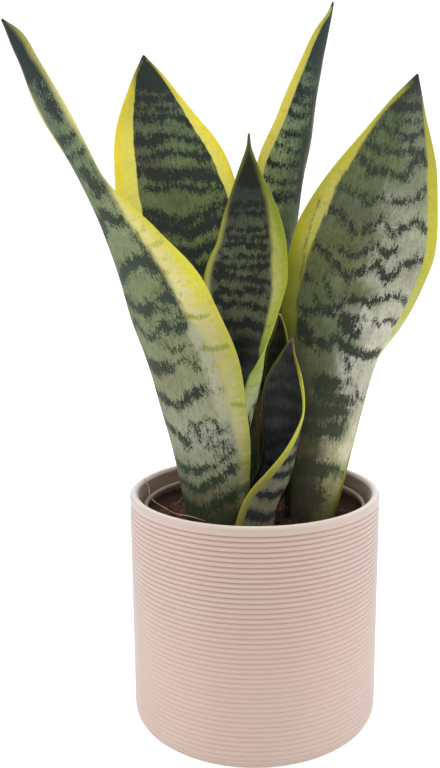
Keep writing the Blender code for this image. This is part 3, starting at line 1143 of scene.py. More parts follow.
class Foliage:
    """All seven blades."""

    def leaves(self) -> list[Leaf]:
        """The blades in their places, one for each node."""
        middle = [self.left(), self.back_left(), self.centre(), self.back()]
        return [*middle, self.right(), self.small_front(), self.inner()]

    def build(self) -> None:
        """Build every blade."""
        for leaf in self.leaves():
            leaf.build()

    def left(self) -> Leaf:
        """The long cupped blade that leans to the left, its outer face to the front.

        Returns:
            The blade.
        """
        shape = blade(
            (-25, -24, 98, 43, 50, 125), (-29.5, -26, 139, 58.5, 50, 124), (-39, -30, 189, 72, 50, 116),
            (-50.5, -34, 232, 62, 53, 100), (-62, -36, 260, 40.5, 49, 90), (-77, -37, 286, 22, 38, 80),
            (-87, -37, 306, 21, 38, 70), (-98, -36, 327, 18, 52, 60), (-106, -34, 346, 11.5, 60, 50),
            (-111.5, -33, 357, 9, 61, 45), (-118, -31, 366, 1, 62, 40),
        )
        bands = (
            bar(9.0, (10, 30), (16, 40)), bar(9.0, (20, 46), (27, 60)), bar(4.0, (32, 72), (40, 74)),
            stroke(1.6, (38, 88), (46, 90)), stroke(3.0, (50, 104), (58, 116)),
            stroke(2.0, (62, 142), (70, 138), (75, 134)), bar(1.6, (73, 159), (80, 152), (86, 147)),
            stroke(3.2, (86, 172), (94, 182), (100, 190)), stroke(1.0, (92, 158), (108, 184), (124, 210)),
            bar(2.6, (104, 213), (113, 219), (119, 222), (127, 216)), stroke(1.2, (108, 226), (106, 238)),
            stroke(1.3, (130, 221), (146, 246), (155, 262)),
            stroke(1.2, (163, 277), (171, 291), (181, 310), (191, 330)),
            bar(3.6, (124, 276), (129, 268), (138, 261), (148, 262), (156, 268)),
            bar(2.8, (127, 296), (139, 308), (147, 312), (155, 302), (168, 296), (180, 299)),
            bar(2.2, (137, 320), (146, 334), (154, 338), (163, 324), (174, 328), (185, 326)),
            stroke(1.4, (160, 306), (172, 312), (184, 318)),
            stroke(1.2, (182, 312), (187, 320), (186, 330)),
            stroke(3.8, (147, 358), (158, 368), (168, 366)),
            stroke(1.2, (166, 346), (174, 350), (182, 347)),
            stroke(1.6, (168, 366), (184, 360), (194, 361), (203, 367)),
            stroke(1.0, (195, 345), (200, 354)),
            bar(2.0, (157, 388), (165, 396), (180, 406), (186, 401), (192, 394), (202, 390), (211, 384)),
            stroke(0.8, (221, 375), (222, 386)),
            stroke(2.2, (162, 416), (172, 426), (185, 436), (189, 441)),
            stroke(0.7, (187, 436), (194, 424)), stroke(0.3, (201, 424), (210, 419)),
            stroke(0.6, (198, 430), (203, 438)), stroke(0.5, (208, 425), (212, 436)),
            stroke(0.7, (216, 420), (221, 432)), stroke(0.4, (206, 441), (211, 449)),
            stroke(0.5, (221, 438), (225, 447)), stroke(0.4, (214, 443), (216, 454)),
            stroke(0.4, (226, 424), (229, 433)), stroke(0.6, (224, 409), (230, 412)),
            stroke(1.8, (172, 456), (184, 466), (197, 470), (212, 468)),
            stroke(0.8, (212, 468), (222, 460), (231, 451)),
            bar(2.0, (180, 476), (190, 484), (200, 490), (210, 485), (222, 476), (238, 466)),
            bar(2.6, (184, 495), (200, 507), (210, 509), (225, 499), (242, 489)),
        )
        ground_at = (0.0, 0.1, 0.17, 0.24, 0.32, 0.42, 0.52, 0.61, 0.7, 0.85, 1.0)
        rim_at = (0.0, 0.1, 0.17, 0.24, 0.32, 0.37, 0.43, 0.49, 0.6, 0.72, 0.86, 0.93, 1.0)
        finish = LeafFinish(
            left=shades(
                ground_at, "262f24", "4c4e38", "838469", "979b86", "8a8d6e", "7c835e", "787e5d", "828b6a",
                "6f7d5c", "66735c", "3f4a47",
            ),
            right=shades(
                ground_at, "262f24", "404634", "72755c", "888c75", "7d8062", "707857", "6b7554", "717d5c",
                "637251", "586652", "3f4a47",
            ),
            other=shades((0.0, 0.4, 0.8, 1.0), "39472f", "5c6a44", "56654a", "3f4a47"),
            dark=shades(
                (0.0, 0.15, 0.3, 0.5, 0.7, 1.0), "2d362b", "2e3b2a", "30392c", "384235", "3a4137", "262e31",
            ),
            rim=shades(
                rim_at, "4c4c2c", "66683a", "8a8b46", "a3a354", "a1a14c", "a8a546", "bcb748", "d2cb48",
                "d6ce42", "d8d068", "d8d080", "a5a058", "8d8a48",
            ),
            rim_inner=shades(
                rim_at, "4c4e38", "6a6c4a", "8f8f62", "b0ac7e", "acaa78", "aca676", "c0b984", "d8d092",
                "dcd486", "dcd68c", "ccc888", "a5a068", "8d8a58",
            ),
            cross="b3ae30", tip="262e32", tip_length=3.0, vein="7a8534", pale="a5a587", over=(0.08, 0.2),
            cross_amount=0.75, lobes=1.6, margin_soft=2.0, margin_ragged=6.0,
        )
        rim = (
            (9, 23), (13, 27), (18, 33.5), (23, 41), (29, 52), (36, 62), (50, 84), (67, 116), (94.5, 160),
            (107.5, 183), (117.5, 203), (131.5, 226), (150, 250), (158, 263), (171, 287), (185, 313),
            (197, 331), (210, 350), (220, 375), (226, 396), (232, 424), (237, 445), (240, 470),
        )
        veins = (
            stroke(0.7, (186, 314), (196, 317), (208, 316)),
            stroke(1.0, (204, 347), (212, 348), (226, 346)), stroke(0.9, (233, 403), (246, 405)),
            stroke(1.0, (238, 463), (249, 461)),
        )
        patches = (
            Patch((196, 336), 4, 8, pale=True), Patch((207, 356), 4, 9, pale=True),
            Patch((214, 378), 4, 9, pale=True), Patch((221, 404), 4, 10, pale=True),
        )
        return Leaf(
            "leaf_left", shape, Face.OUTER, finish, bands, Margin(6.0, rim), Margin(4.5, span=(0.68, 0.9)),
            patches=patches, veins=veins, seed=1, columns=58,
        )

    def back_left(self) -> Leaf:
        """The broad blade at the back left, its inner face to the front.

        Returns:
            The blade.
        """
        shape = blade(
            (-8, 30, 98, 34, 265, 110), (-12, 30, 150, 40, 264, 90), (-22, 29, 205, 52, 262, 70),
            (-32, 29, 245, 64, 262, 58), (-42, 31, 289, 68, 261, 52), (-51, 32, 317, 51.5, 260, 48),
            (-56.5, 32, 344, 21.5, 259, 40), (-59, 32, 358, 1, 258, 30),
        )
        bands = (
            bar(9.0, (142, 70), (152, 74)), bar(4.5, (140, 84), (164, 85)),
            bar(2.4, (138, 98), (150, 99), (172, 97)), bar(1.2, (137, 109), (150, 108), (172, 110)),
            bar(2.2, (137, 117), (150, 119), (170, 116), (186, 120)),
            stroke(3.2, (137, 140), (150, 142), (160, 138)),
            bar(1.4, (136, 138), (160, 137), (172, 136), (192, 139)),
            bar(1.6, (140, 160), (160, 154), (180, 153), (200, 156)),
            bar(3.4, (140, 172), (162, 176), (190, 174), (216, 178)),
            stroke(1.6, (148, 190), (176, 186), (204, 190), (222, 186)),
            bar(2.6, (144, 213), (158, 216), (180, 224), (200, 216), (220, 206)),
            bar(3.2, (160, 226), (190, 234), (214, 222)), bar(2.4, (176, 250), (196, 254), (214, 244)),
            bar(3.4, (186, 268), (200, 270), (210, 266)),
        )
        ground_at = (0.0, 0.4, 0.6, 0.75, 0.88, 1.0)
        finish = LeafFinish(
            left=shades(ground_at, "1d221b", "444c33", "586243", "5f6945", "58604c", "3f4a3d"),
            right=shades(ground_at, "1d221b", "444c33", "626f45", "67764b", "58634d", "3f4a3d"),
            other=shades((0.0, 0.4, 0.8, 1.0), "39472f", "5c6a44", "56654a", "2c352c"),
            dark=shades((0.0, 0.4, 0.7, 1.0), "1c211c", "262b25", "2e342e", "2c332e"),
            # The margin ramps are dark towards the foot, where the margins show between the front blades:
            # painted shade.
            rim=shades(
                (0.0, 0.3, 0.42, 0.65, 0.85, 0.95, 0.98, 1.0), "343119", "45401e", "a8992f", "e6d23c",
                "f0dc40", "d8ca48", "6d7038", "343c2c",
            ),
            rim_inner=shades(
                (0.0, 0.3, 0.42, 0.65, 0.85, 0.94, 0.98, 1.0), "343119", "454022", "98903a", "dcd468",
                "e4da64", "b9b044", "4c5230", "2e362a",
            ),
            cross="d3b53a", patch="57553f", tip="2c3830", tip_length=4.0, cross_amount=0.3, margin_soft=0.4,
            margin_ragged=2.0,
        )
        left = ((137, 75), (135.5, 90), (134, 106), (133, 131), (135.5, 163), (139, 193), (142, 211))
        right = ((155, 69), (168, 86), (180, 104), (196, 131), (211, 155), (220, 176), (227, 192))
        return Leaf(
            "leaf_back_left", shape, Face.INNER, finish, bands, Margin(8.0, left), Margin(5.0, right),
            ((0.0, 120.0),), (Patch((139, 110), 6, 7), Patch((152, 160), 6, 7)), seed=2, columns=56,
        )

    def centre(self) -> Leaf:
        """The dark blade in the middle, its inner face to the front.

        Returns:
            The blade.
        """
        shape = blade(
            (-5, 4, 98, 36, 185, 180), (-6, 4, 150, 37, 187, 174), (2, 4, 194, 40, 202, 146),
            (-1.5, 3, 215, 41, 236, 105), (-3.5, 4, 239, 47, 256, 72), (-1.3, 5, 258, 39.5, 262, 60),
            (-1.5, 5, 276, 30, 264, 55), (-2.7, 3, 296, 13.5, 266, 50), (-3, 1, 309, 3, 266, 40),
            (-3, 0, 316, 1, 266, 30),
        )
        bands = (
            bar(7.0, (246, 165), (254, 166)), bar(4.0, (242, 180), (258, 181)),
            bar(1.6, (238, 204), (250, 205), (264, 203)), bar(1.2, (236, 214), (250, 212), (266, 214)),
            bar(1.4, (232, 229), (246, 230), (268, 228)), bar(1.2, (230, 238), (250, 239), (268, 237)),
            bar(1.6, (226, 246), (240, 244), (256, 247), (270, 246)),
            bar(1.2, (224, 258), (244, 256), (268, 258)), bar(1.6, (222, 266), (240, 268), (268, 266)),
            bar(1.8, (220, 275), (240, 277), (258, 281), (268, 282)),
            bar(1.6, (222, 290), (236, 292), (250, 290)), bar(1.8, (226, 305), (240, 303), (262, 308)),
            bar(2.4, (236, 326), (250, 322), (262, 328)), bar(3.4, (240, 344), (254, 342), (262, 346)),
            bar(4.0, (238, 360), (250, 358)),
        )
        ground_at = (0.0, 0.3, 0.45, 0.6, 0.75, 0.85, 1.0)
        rim_at = (0.0, 0.38, 0.46, 0.54, 0.63, 0.75, 0.9, 1.0)
        finish = LeafFinish(
            left=shades(ground_at, "2f352a", "353c31", "3e4237", "5e634c", "5b614b", "3b4039", "212a24"),
            right=shades(ground_at, "2f352a", "353c31", "414539", "656850", "5b614b", "3b4039", "212a24"),
            other=shades(
                (0.0, 0.36, 0.44, 0.6, 0.9, 1.0), "6f7c5a", "a9ac88", "c6caa6", "7c8a5c", "4c5a38",
                "2c352c",
            ),
            dark=shades((0.0, 0.5, 0.75, 1.0), "252a24", "2b2f2b", "292e26", "20241c"),
            rim=shades(
                rim_at, "b0ba74", "bcc87c", "abbd62", "c0d24e", "a8ac3a", "929e2c", "7a8c2a", "566228",
            ),
            rim_inner=shades(
                rim_at, "b0b492", "b4b894", "b0c066", "c4cc5c", "bfbf72", "b3b05e", "727e30", "465226",
            ),
            cross="7d8f2c", tip="5d5148", tip_length=4.5, wide=2.5, blotch=8.0, streak=5.0, fine=5.0,
            halo=2.0, lobes=1.3, margin_soft=1.8, margin_ragged=3.5,
        )
        left = ((242, 166), (236, 180), (230, 196), (226, 219), (218, 249), (211, 270))
        right = (
            (256, 165), (262, 185), (268, 206), (270, 229), (272, 249), (272, 270), (273, 290), (270, 312),
            (265.5, 332), (262, 345), (259.5, 353),
        )
        return Leaf(
            "leaf_centre", shape, Face.INNER, finish, bands, Margin(4.0, left), Margin(5.5, right),
            ((0.0, 110.0),), spacing=11.0, seed=3, columns=46,
        )

    def back(self) -> Leaf:
        """The tallest, narrow blade at the back, its outer face to the front.

        Returns:
            The blade.
        """
        shape = blade(
            (14, 36, 98, 24, 130, 115), (14, 38, 160, 32, 132, 105), (12, 42, 235, 42, 134, 100),
            (20.5, 44, 300, 42, 135, 92), (26, 45, 324, 33, 136, 85), (33.5, 45, 359, 17.5, 138, 70),
            (37, 45, 371, 11.5, 138, 62), (40.5, 45, 381, 4, 138, 55), (42, 45, 387, 1, 138, 50),
        )
        bands = (
            bar(8.0, (328, 22), (324, 30)), bar(8.0, (318, 44), (316, 52)), bar(2.0, (308, 68), (316, 70)),
            stroke(0.9, (304, 80), (314, 79)), bar(2.6, (300, 90), (313, 93)),
            bar(0.8, (300, 104), (310, 106)), bar(2.0, (292, 117), (308, 114)),
            bar(1.0, (286, 133), (300, 136), (306, 130)), bar(0.9, (282, 148), (292, 152), (302, 148)),
            bar(1.4, (274, 164), (284, 166), (294, 166), (303, 160)),
            bar(1.0, (270, 182), (284, 184), (298, 180)), bar(2.2, (268, 198), (280, 199), (296, 196)),
            stroke(2.2, (314, 90), (311, 110), (308, 130), (304, 150), (301, 170), (298, 200)),
            stroke(2.4, (306, 130), (303, 150), (300, 170), (296, 200)),
        )
        ground_at = (0.0, 0.4, 0.55, 0.7, 0.85, 1.0)
        rim_at = (0.0, 0.5, 0.7, 0.85, 1.0)
        finish = LeafFinish(
            # The left ramp is darker than the right: painted shade on that half of the blade.
            left=shades(ground_at, "232b20", "35422f", "4c5b3b", "5a6847", "404c3e", "394440"),
            right=shades(ground_at, "232b20", "4d5838", "788856", "889569", "64725a", "3a4642"),
            other=shades((0.0, 0.5, 1.0), "2c352c", "46543a", "303b39"),
            dark=shades((0.0, 0.5, 0.8, 1.0), "181e19", "252d28", "29312b", "313b39"),
            rim=shades(rim_at, "84803a", "c9bf48", "dfd34e", "d9ce4c", "a9a544"),
            rim_inner=shades(rim_at, "84803a", "c2b95a", "dad06a", "c9c258", "8d8f48"), cross="c0b83c",
            patch="8a7560", tip="2a3233", tip_length=4.0, blend=(-0.2, 0.7), contrast=1.5, margin_soft=0.4,
            margin_ragged=1.6,
        )
        left = ((324, 22), (318, 34), (309, 55), (298, 83), (285, 118), (274, 144), (264, 168))
        return Leaf(
            "leaf_back", shape, Face.OUTER, finish, bands, Margin(0.0), Margin(5.0, left), ((0.0, 170.0),),
            (Patch((311, 41), 1.6, 3),), seed=4, columns=42,
        )

    def right(self) -> Leaf:
        """The broadest blade, on the right, its outer face to the front.

        Returns:
            The blade.
        """
        shape = blade(
            (31, -2, 98, 36, 110, 150), (35, -1, 118, 41, 111, 148), (40.8, 1, 157, 56, 111, 140),
            (46.5, 3, 201, 69, 109, 116), (52.5, 4, 225, 82, 107, 94), (59, 5, 246, 86.5, 106, 78),
            (64.6, 6, 266, 84, 106, 68), (73, 8, 300, 56.5, 104, 60), (78.7, 10, 329, 22.5, 102, 54),
            (83, 10, 346, 1, 100, 45),
        )
        bands = (
            bar(3.0, (410, 86), (419, 86)), bar(2.4, (392, 106), (406, 108), (421, 107)),
            bar(1.6, (383, 127), (396, 132), (409, 138), (423, 131)),
            stroke(1.0, (386, 120), (400, 122), (422, 120)), stroke(2.0, (369, 144), (376, 148)),
            stroke(1.0, (374, 144), (381, 152), (396, 153), (406, 150), (422, 154)),
            bar(1.6, (360, 156), (366, 164), (373, 171), (391, 173), (404, 177), (412, 164), (424, 162)),
            bar(1.0, (339, 189), (351, 191), (362, 199), (367, 204), (377, 198), (385, 201), (391, 203),
                (404, 202), (416, 199), (424, 188)),
            bar(1.5, (329, 207), (341, 212), (349, 223), (358, 236), (367, 229), (380, 220), (386, 226),
                (393, 236), (401, 227), (408, 225), (416, 220), (423, 228)),
            bar(1.6, (315, 242), (326, 254), (338, 266), (347, 280), (355, 272), (367, 271), (377, 262),
                (384, 280), (393, 275), (401, 265), (416, 260)),
            stroke(1.4, (341, 250), (354, 257), (364, 252), (378, 246), (385, 255), (395, 250)),
            stroke(1.0, (306, 274), (313, 284)), stroke(0.9, (324, 278), (331, 292)),
            stroke(2.2, (346, 300), (356, 300), (366, 303), (374, 300)),
            bar(1.0, (338, 306), (349, 298), (362, 303), (377, 300), (393, 296), (400, 298)),
            stroke(0.8, (314, 297), (325, 312), (333, 316)), stroke(3.8, (345, 322), (352, 334)),
            stroke(1.2, (352, 318), (360, 316)), stroke(1.0, (342, 318), (346, 328)),
            stroke(1.0, (357, 315), (358, 328)),
            stroke(2.6, (300, 326), (311, 340), (325, 345), (337, 340), (350, 350), (368, 356), (383, 350)),
            stroke(0.7, (373, 321), (378, 325), (386, 319), (394, 322), (399, 318)),
            stroke(1.0, (345, 356), (348, 368)), stroke(3.8, (319, 382), (334, 384)),
            stroke(3.0, (320, 394), (336, 398), (350, 402)),
            stroke(0.9, (338, 390), (346, 382), (352, 384), (356, 397), (364, 399)),
            stroke(3.6, (308, 410), (322, 412), (342, 410)),
            stroke(1.4, (342, 402), (347, 412), (342, 422)),
            stroke(4.0, (303, 428), (320, 430), (337, 430)),
            stroke(4.4, (295, 464), (310, 467), (322, 468)),
            stroke(1.4, (324, 472), (332, 466), (342, 474)),
            stroke(5.0, (290, 492), (303, 496), (314, 498)), stroke(1.0, (318, 488), (322, 500)),
        )
        ground_at = (0.0, 0.1, 0.19, 0.3, 0.4, 0.5, 0.6, 0.7, 0.82, 0.93, 1.0)
        finish = LeafFinish(
            # The left ramp is pale and silvery: partly the blade's own silver, partly a painted sheen.
            left=shades(
                ground_at, "5c6038", "868654", "b0ac84", "a4a38d", "a7a797", "b3b3a1", "989984", "8f937c",
                "71785f", "636a55", "3b413c",
            ),
            # The right ramp is darkest near the foot: painted shade there.
            right=shades(
                ground_at, "413c33", "4e4c3c", "575541", "4a4b35", "606348", "555d40", "5e6440", "575c44",
                "5a6642", "4c573f", "363e3d",
            ),
            other=shades((0.0, 0.4, 0.8, 1.0), "39472f", "5c6a44", "56654a", "3f4a47"),
            dark=shades(
                (0.0, 0.12, 0.2, 0.4, 0.6, 0.8, 1.0), "504d3a", "464737", "3f4534", "31362b", "30332b",
                "363c31", "363b37",
            ),
            # These margin ramps are olive and darkest towards the foot: partly the margin's own colour,
            # partly painted shade.
            rim=shades(
                (0.0, 0.16, 0.3, 0.45, 0.56, 0.63, 0.7, 0.82, 0.92, 0.965, 0.985, 1.0), "26271c", "2c2e1e",
                "555b26", "6c7226", "8a8a28", "aeac29", "a09c30", "b6ae38", "a6a634", "8f9232", "3c4432",
                "303538",
            ),
            rim_inner=shades(
                (0.0, 0.16, 0.3, 0.45, 0.56, 0.63, 0.7, 0.82, 0.92, 0.965, 0.98, 1.0), "26271c", "2c2e20",
                "55602c", "6c7230", "8f8c3a", "b9b552", "b4ae5c", "b6ae4c", "a4a63a", "86893a", "384034",
                "303538",
            ),
            rim_left=shades(
                (0.0, 0.2, 0.28, 0.33, 0.44, 0.52, 0.6, 0.66, 0.8, 0.95, 0.98, 1.0), "6c6a24", "8a8830",
                "a3a044", "b6b48c", "c6c69c", "b4b46a", "a9aa4c", "b2ae3c", "aaa636", "8f9138", "3c4434",
                "303538",
            ),
            cross="8f9430", patch="5e6e46", pale="c6c3a4", vein="3d5528", tip="303538", tip_length=6.0,
            blend=(-0.28, 0.3), contrast=1.1, margin_soft=1.0, margin_ragged=4.0,
        )
        left = (
            (403, 93), (383, 113), (364, 140), (351, 163), (339, 183), (328, 209), (318, 231), (308, 254),
            (303, 278), (298, 301), (297, 322),
        )
        right = (
            (421.6, 96), (424, 131), (426, 180), (427, 229), (422, 265), (412, 291), (401, 312), (391, 330),
            (379, 352), (366, 390), (356, 428), (354, 432), (351, 441), (345.5, 461), (339, 484),
            (329.5, 508),
        )
        patches = (
            Patch((342, 424), 4, 9), Patch((334, 469), 4, 5), Patch((350, 344), 5, 4),
            Patch((336, 328), 6, 8), Patch((330, 286), 5, 5), Patch((344, 452), 7, 7, pale=True),
            Patch((352, 430), 3, 5, pale=True),
        )
        veins = (
            stroke(0.35, (320, 199), (313, 216), (307, 236), (303, 256), (301, 280)),
            stroke(0.3, (325, 474), (328, 462)), stroke(0.3, (333, 478), (335, 466)),
        )
        return Leaf(
            "leaf_right", shape, Face.OUTER, finish, bands, Margin(5.0, right), Margin(5.0, left), (),
            patches, veins, seed=5, columns=70,
        )

    def small_front(self) -> Leaf:
        """The short, deeply cupped blade in front.

        Returns:
            The blade.
        """
        shape = blade(
            (7, -25, 98, 48, 170, 205), (9.5, -25, 126, 47, 173, 211), (17, -25, 144, 42, 184, 188),
            (19.5, -24, 160, 36, 206, 160), (18.5, -22, 176, 34, 233, 138), (17, -20, 192, 25, 245, 118),
            (17.5, -18, 206, 9, 248, 100), (19, -18, 214, 1, 250, 80),
        )
        bands = (
            bar(2.4, (288, 459), (292, 455), face=Face.OUTER),
            bar(2.0, (284, 474), (288, 470), face=Face.OUTER),
            bar(2.0, (270, 494), (280, 490), face=Face.OUTER),
            bar(2.2, (262, 517), (274, 512), face=Face.OUTER),
        )
        ground_at = (0.0, 0.4, 0.7, 1.0)
        rim_at = (0.0, 0.2, 0.32, 0.45, 0.58, 0.78, 0.9, 1.0)
        finish = LeafFinish(
            # The shown inner face is painted dark grey: painted shade in its deep hollow.
            left=shades(ground_at, "363737", "444648", "373835", "393937"),
            right=shades(ground_at, "363737", "444648", "373835", "393937"),
            other=shades((0.0, 0.3, 0.6, 1.0), "4a4e3c", "787961", "6d6e59", "484d43"),
            dark=shades((0.0, 0.5, 1.0), "393a39", "262827", "262827"),
            rim=shades(
                rim_at, "6d6738", "898537", "928f38", "a3a23c", "b2b43a", "cacd3f", "9a9838", "7d6f48",
            ),
            rim_inner=shades(
                rim_at, "6d673d", "7d7a3f", "7e7c38", "8c8a44", "a3a53c", "c3c745", "8a8738", "6d6040",
            ),
            # The left margin is painted dark olive to near black: painted shade.
            rim_left=shades((0.0, 0.6, 0.75, 0.9, 1.0), "232524", "26282a", "33361f", "484b2a", "4d4636"),
            cross="8f9a2c", cross_amount=0.0, tip="6b5846", tip_length=3.0, wide=1.5, blotch=3.0,
            streak=5.0, fine=2.5, margin_soft=0.4, margin_ragged=1.0,
        )
        return Leaf(
            "leaf_small_front", shape, Face.INNER, finish, bands, Margin(2.0), Margin(3.8),
            ((60.0, 110.0),), spacing=9.0, seed=6, columns=50,
        )

    def inner(self) -> Leaf:
        """The young blade hidden between the others.

        Returns:
            The blade.
        """
        shape = blade(
            (7, 7, 98, 11, 245, 110), (9, 5, 150, 13, 240, 110), (12, 4, 186, 15, 236, 108),
            (14, 4, 206, 14, 236, 95), (14, 4, 216, 7, 240, 80), (13, 4, 224, 1, 245, 70),
        )
        ground_at = (0.0, 1.0)
        rim_at = (0.0, 0.65, 0.8, 0.92, 1.0)
        # Ground and margins are painted near black and dull olive: painted shade, as the blade stands deep
        # between the others.
        finish = LeafFinish(
            left=shades(ground_at, "1b1f18", "262a1c"), right=shades(ground_at, "1b1f18", "262a1c"),
            other=shades(ground_at, "3d452f", "4a4f34"), dark=shades(ground_at, "151917", "1a1d16"),
            rim=shades(rim_at, "22211a", "2b291c", "6f6a2c", "8f8838", "a89a68"),
            rim_inner=shades(rim_at, "22211a", "2b291c", "5f5a28", "7a6c30", "8f7040"), tip="c9b98c",
            tip_length=1.5, wide=2.0, blotch=3.0, streak=5.0,
        )
        return Leaf(
            "leaf_inner", shape, Face.INNER, finish, (), Margin(0.3), Margin(2.2), ((0.0, 120.0),),
            spacing=8.0, seed=7, columns=26,
        )


@dataclass(frozen=True)
class GlazeFinish(Finish):
    """Satin blush glaze, greyer on the lip and taupe inside, with fine specks."""

    outside: str = "ceb1a5"
    cool: str = "cab4a8"
    # Painted shade in the groove valleys.
    valley: str = "9a7c70"
    lip: str = "bfaea5"
    # Painted highlight along the lip's crest, where its top faces the light.
    crest_highlight: str = "dfd0c3"
    inside: str = "a38a76"
    speck: str = "8d7468"
    roughness: float = 0.34
    groove_shade_heights: tuple[float, float] = (0.035, 0.115)
    groove_shade_least: float = 0.27
    groove_shade_gain: float = 0.65
    lip_share: float = 0.8
    crest_highlight_share: float = 0.9
    speck_share: float = 0.25

    def shade(self, tree: ShaderTree) -> None:
        """Shade the glaze from the groove depth, lip and inside shares kept on the mesh.

        Args:
            tree: The material's nodes.
        """
        valley, lip, inside = tree.parts(tree.attribute("pot_marks"))
        where = tree.place()
        clouds = tree.noise(where, (14.0, 14.0, 22.0), 3.0)
        specks = tree.noise(where, (900.0, 900.0, 900.0), 2.0)
        grain = tree.noise(where, (2600.0, 2600.0, 2600.0), 2.0)
        skin = tree.mix((clouds * 2.2).step(-0.5, 0.5), colour(self.outside), colour(self.cool))
        # The groove valleys are painted darker, more so higher up the side: painted shade in the grooves.
        groove_shade = tree.parts(where)[2].step(*self.groove_shade_heights) * self.groove_shade_gain + self.groove_shade_least
        skin = tree.mix(valley * groove_shade, skin, colour(self.valley))
        skin = tree.mix(lip.step(0.0, 1.0) * self.lip_share, skin, colour(self.lip))
        # A painted highlight along the crest of the lip.
        skin = tree.mix(lip.step(1.0, 2.0) * self.crest_highlight_share, skin, colour(self.crest_highlight))
        skin = tree.mix(inside, skin, colour(self.inside))
        skin = tree.mix(specks.step(0.19, 0.26) * self.speck_share, skin, colour(self.speck))
        tree.surface(
            {
                "Base Color": skin,
                "Roughness": clouds * 0.12 + self.roughness,
                "Coat Weight": 0.5,
                "Coat Roughness": 0.14,
                "Sheen Weight": 0.7,
                "Sheen Roughness": 0.3,
                "Normal": tree.bump(grain + clouds * 0.5, 0.12, 0.08 * MM),
            }
        )


def share_of(part: float, whole: float) -> float:
    """The share that a part is of a whole, kept between 0 and 1."""
    return min(max(part / whole, 0), 1)


@dataclass
class CoverPot:
    """The ribbed ceramic cover pot."""

    height: float = 130 * MM
    radius: float = 67 * MM
    taper: float = 0.7 * MM
    lip_radius: float = 62.4 * MM
    inside_foot: float = 59 * MM
    floor: float = 5 * MM
    base_rounding: float = 11 * MM
    foot_radius: float = 57 * MM
    inside_rounding: float = 8 * MM
    grooves: int = 47
    pitch: float = 2.6 * MM
    depth: float = 0.55 * MM
    first_groove: float = 5 * MM
    points_each: int = 6
    sides: int = 208
    corner_steps: int = 9
    wall_steps: int = 10
    lip_steps: int = 15
    inside_from: float = 150.0
    crest_highlight_between: tuple[float, float] = (50.0, 130.0)
    crest_highlight_fade: float = 15.0
    plain_shares: tuple[float, ...] = (0.35, 0.7)
    base_angles: tuple[float, ...] = (-58, -68, -78)
    finish: GlazeFinish = field(default_factory=GlazeFinish)

    def side_radius(self, z: float) -> float:
        """Find the smooth outer radius, rounded under at the base.

        Args:
            z: Height above the floor.

        Returns:
            The radius in metres.
        """
        drop = max(self.base_rounding - z, 0.0)
        rounding = self.base_rounding - math.sqrt(max(self.base_rounding**2 - drop**2, 0.0))
        return self.radius - self.taper * (1 - z / self.height) - rounding

    def ribbed_side(self) -> list[tuple[float, float, float]]:
        """Radius, height and valley share down the grooved side.

        Returns:
            The points from the first groove's upper crest to the last groove.
        """
        points = []
        top = self.height - self.first_groove + self.pitch / 2
        for i in range(self.grooves * self.points_each + 1):
            turn = i / self.points_each
            z = top - turn * self.pitch
            if z < self.base_rounding * 0.25:
                break
            valley = (1 - abs(math.cos(math.pi * turn))) ** 1.2
            start = min(turn / 0.5, 1.0)
            points.append((self.side_radius(z) - self.depth * valley * start, z, valley * start))
        return points

    def profile(self) -> list[tuple[float, float, float, float, float]]:
        """The pot's section with its marks.

        Returns:
            Radius, height, and the valley, lip and inside shares of each point; lip over 1 is the painted
            highlight.
        """
        highlight_from, highlight_to = self.crest_highlight_between
        points = [(0.0, self.floor, 0.0, 0.0, 1.0)]
        for angle in np.radians(np.linspace(-90, 0, self.corner_steps)):
            x = self.inside_foot - self.inside_rounding + self.inside_rounding * math.cos(angle)
            z = self.floor + self.inside_rounding + self.inside_rounding * math.sin(angle)
            points.append((x, z, 0.0, 0.0, 1.0))
        lip = (self.radius - self.lip_radius) / 2
        centre_x, centre_z = self.lip_radius + lip, self.height - lip
        last_x, last_z = points[-1][:2]
        for t in np.linspace(0, 1, self.wall_steps)[1:-1]:
            x = last_x + (self.lip_radius - last_x) * t
            points.append((x, last_z + (centre_z - last_z) * t, 0.0, 0.0, 1.0))
        for angle in np.linspace(180, 0, self.lip_steps):
            turn = math.radians(angle)
            where = (centre_x + lip * math.cos(turn), centre_z + lip * math.sin(turn))
            inside = share_of(angle - self.inside_from, 180 - self.inside_from)
            # The lip's crest is marked for its painted highlight.
            crest_highlight = share_of(angle - highlight_from, self.crest_highlight_fade)
            crest_highlight *= share_of(highlight_to - angle, self.crest_highlight_fade)
            points.append((*where, 0.0, 1.0 + crest_highlight, inside))
        side = self.ribbed_side()
        plain_top, plain_foot = centre_z, side[0][1]
        for t in self.plain_shares:
            z = plain_top + (plain_foot - plain_top) * t
            points.append((self.side_radius(z), z, 0.0, 1 - t, 0.0))
        points += [(x, z, valley, 0.0, 0.0) for x, z, valley in side]
        corner_x = self.radius - self.taper - self.base_rounding
        for angle in self.base_angles:
            turn = math.radians(angle)
            x = corner_x + self.base_rounding * math.cos(turn)
            points.append((x, self.base_rounding * (1 + math.sin(turn)), 0.0, 0.0, 0.0))
        points += [(self.foot_radius, 0.0, 0.0, 0.0, 0.0), (self.foot_radius * 0.5, 0.0, 0.0, 0.0, 0.0)]
        return [*points, (0.0, 0.0, 0.0, 0.0, 0.0)]

    def build(self) -> bpy.types.Object:
        """Make the pot and dress it.

        Returns:
            The pot's object.
        """
        profile = self.profile()
        points, faces = lathe([(row[0], row[1]) for row in profile], self.sides)
        made = mesh_object("cover_pot", points, faces, self.finish.material("blush_glaze"))
        marks = np.repeat([row[2:] for row in profile[1:-1]], self.sides, axis=0)
        store(made.data, "pot_marks", np.concatenate([marks, [profile[0][2:], profile[-1][2:]]]))
        face_outward(made)
        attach(made, "root")
        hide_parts("pot")
        report(made)
        return made


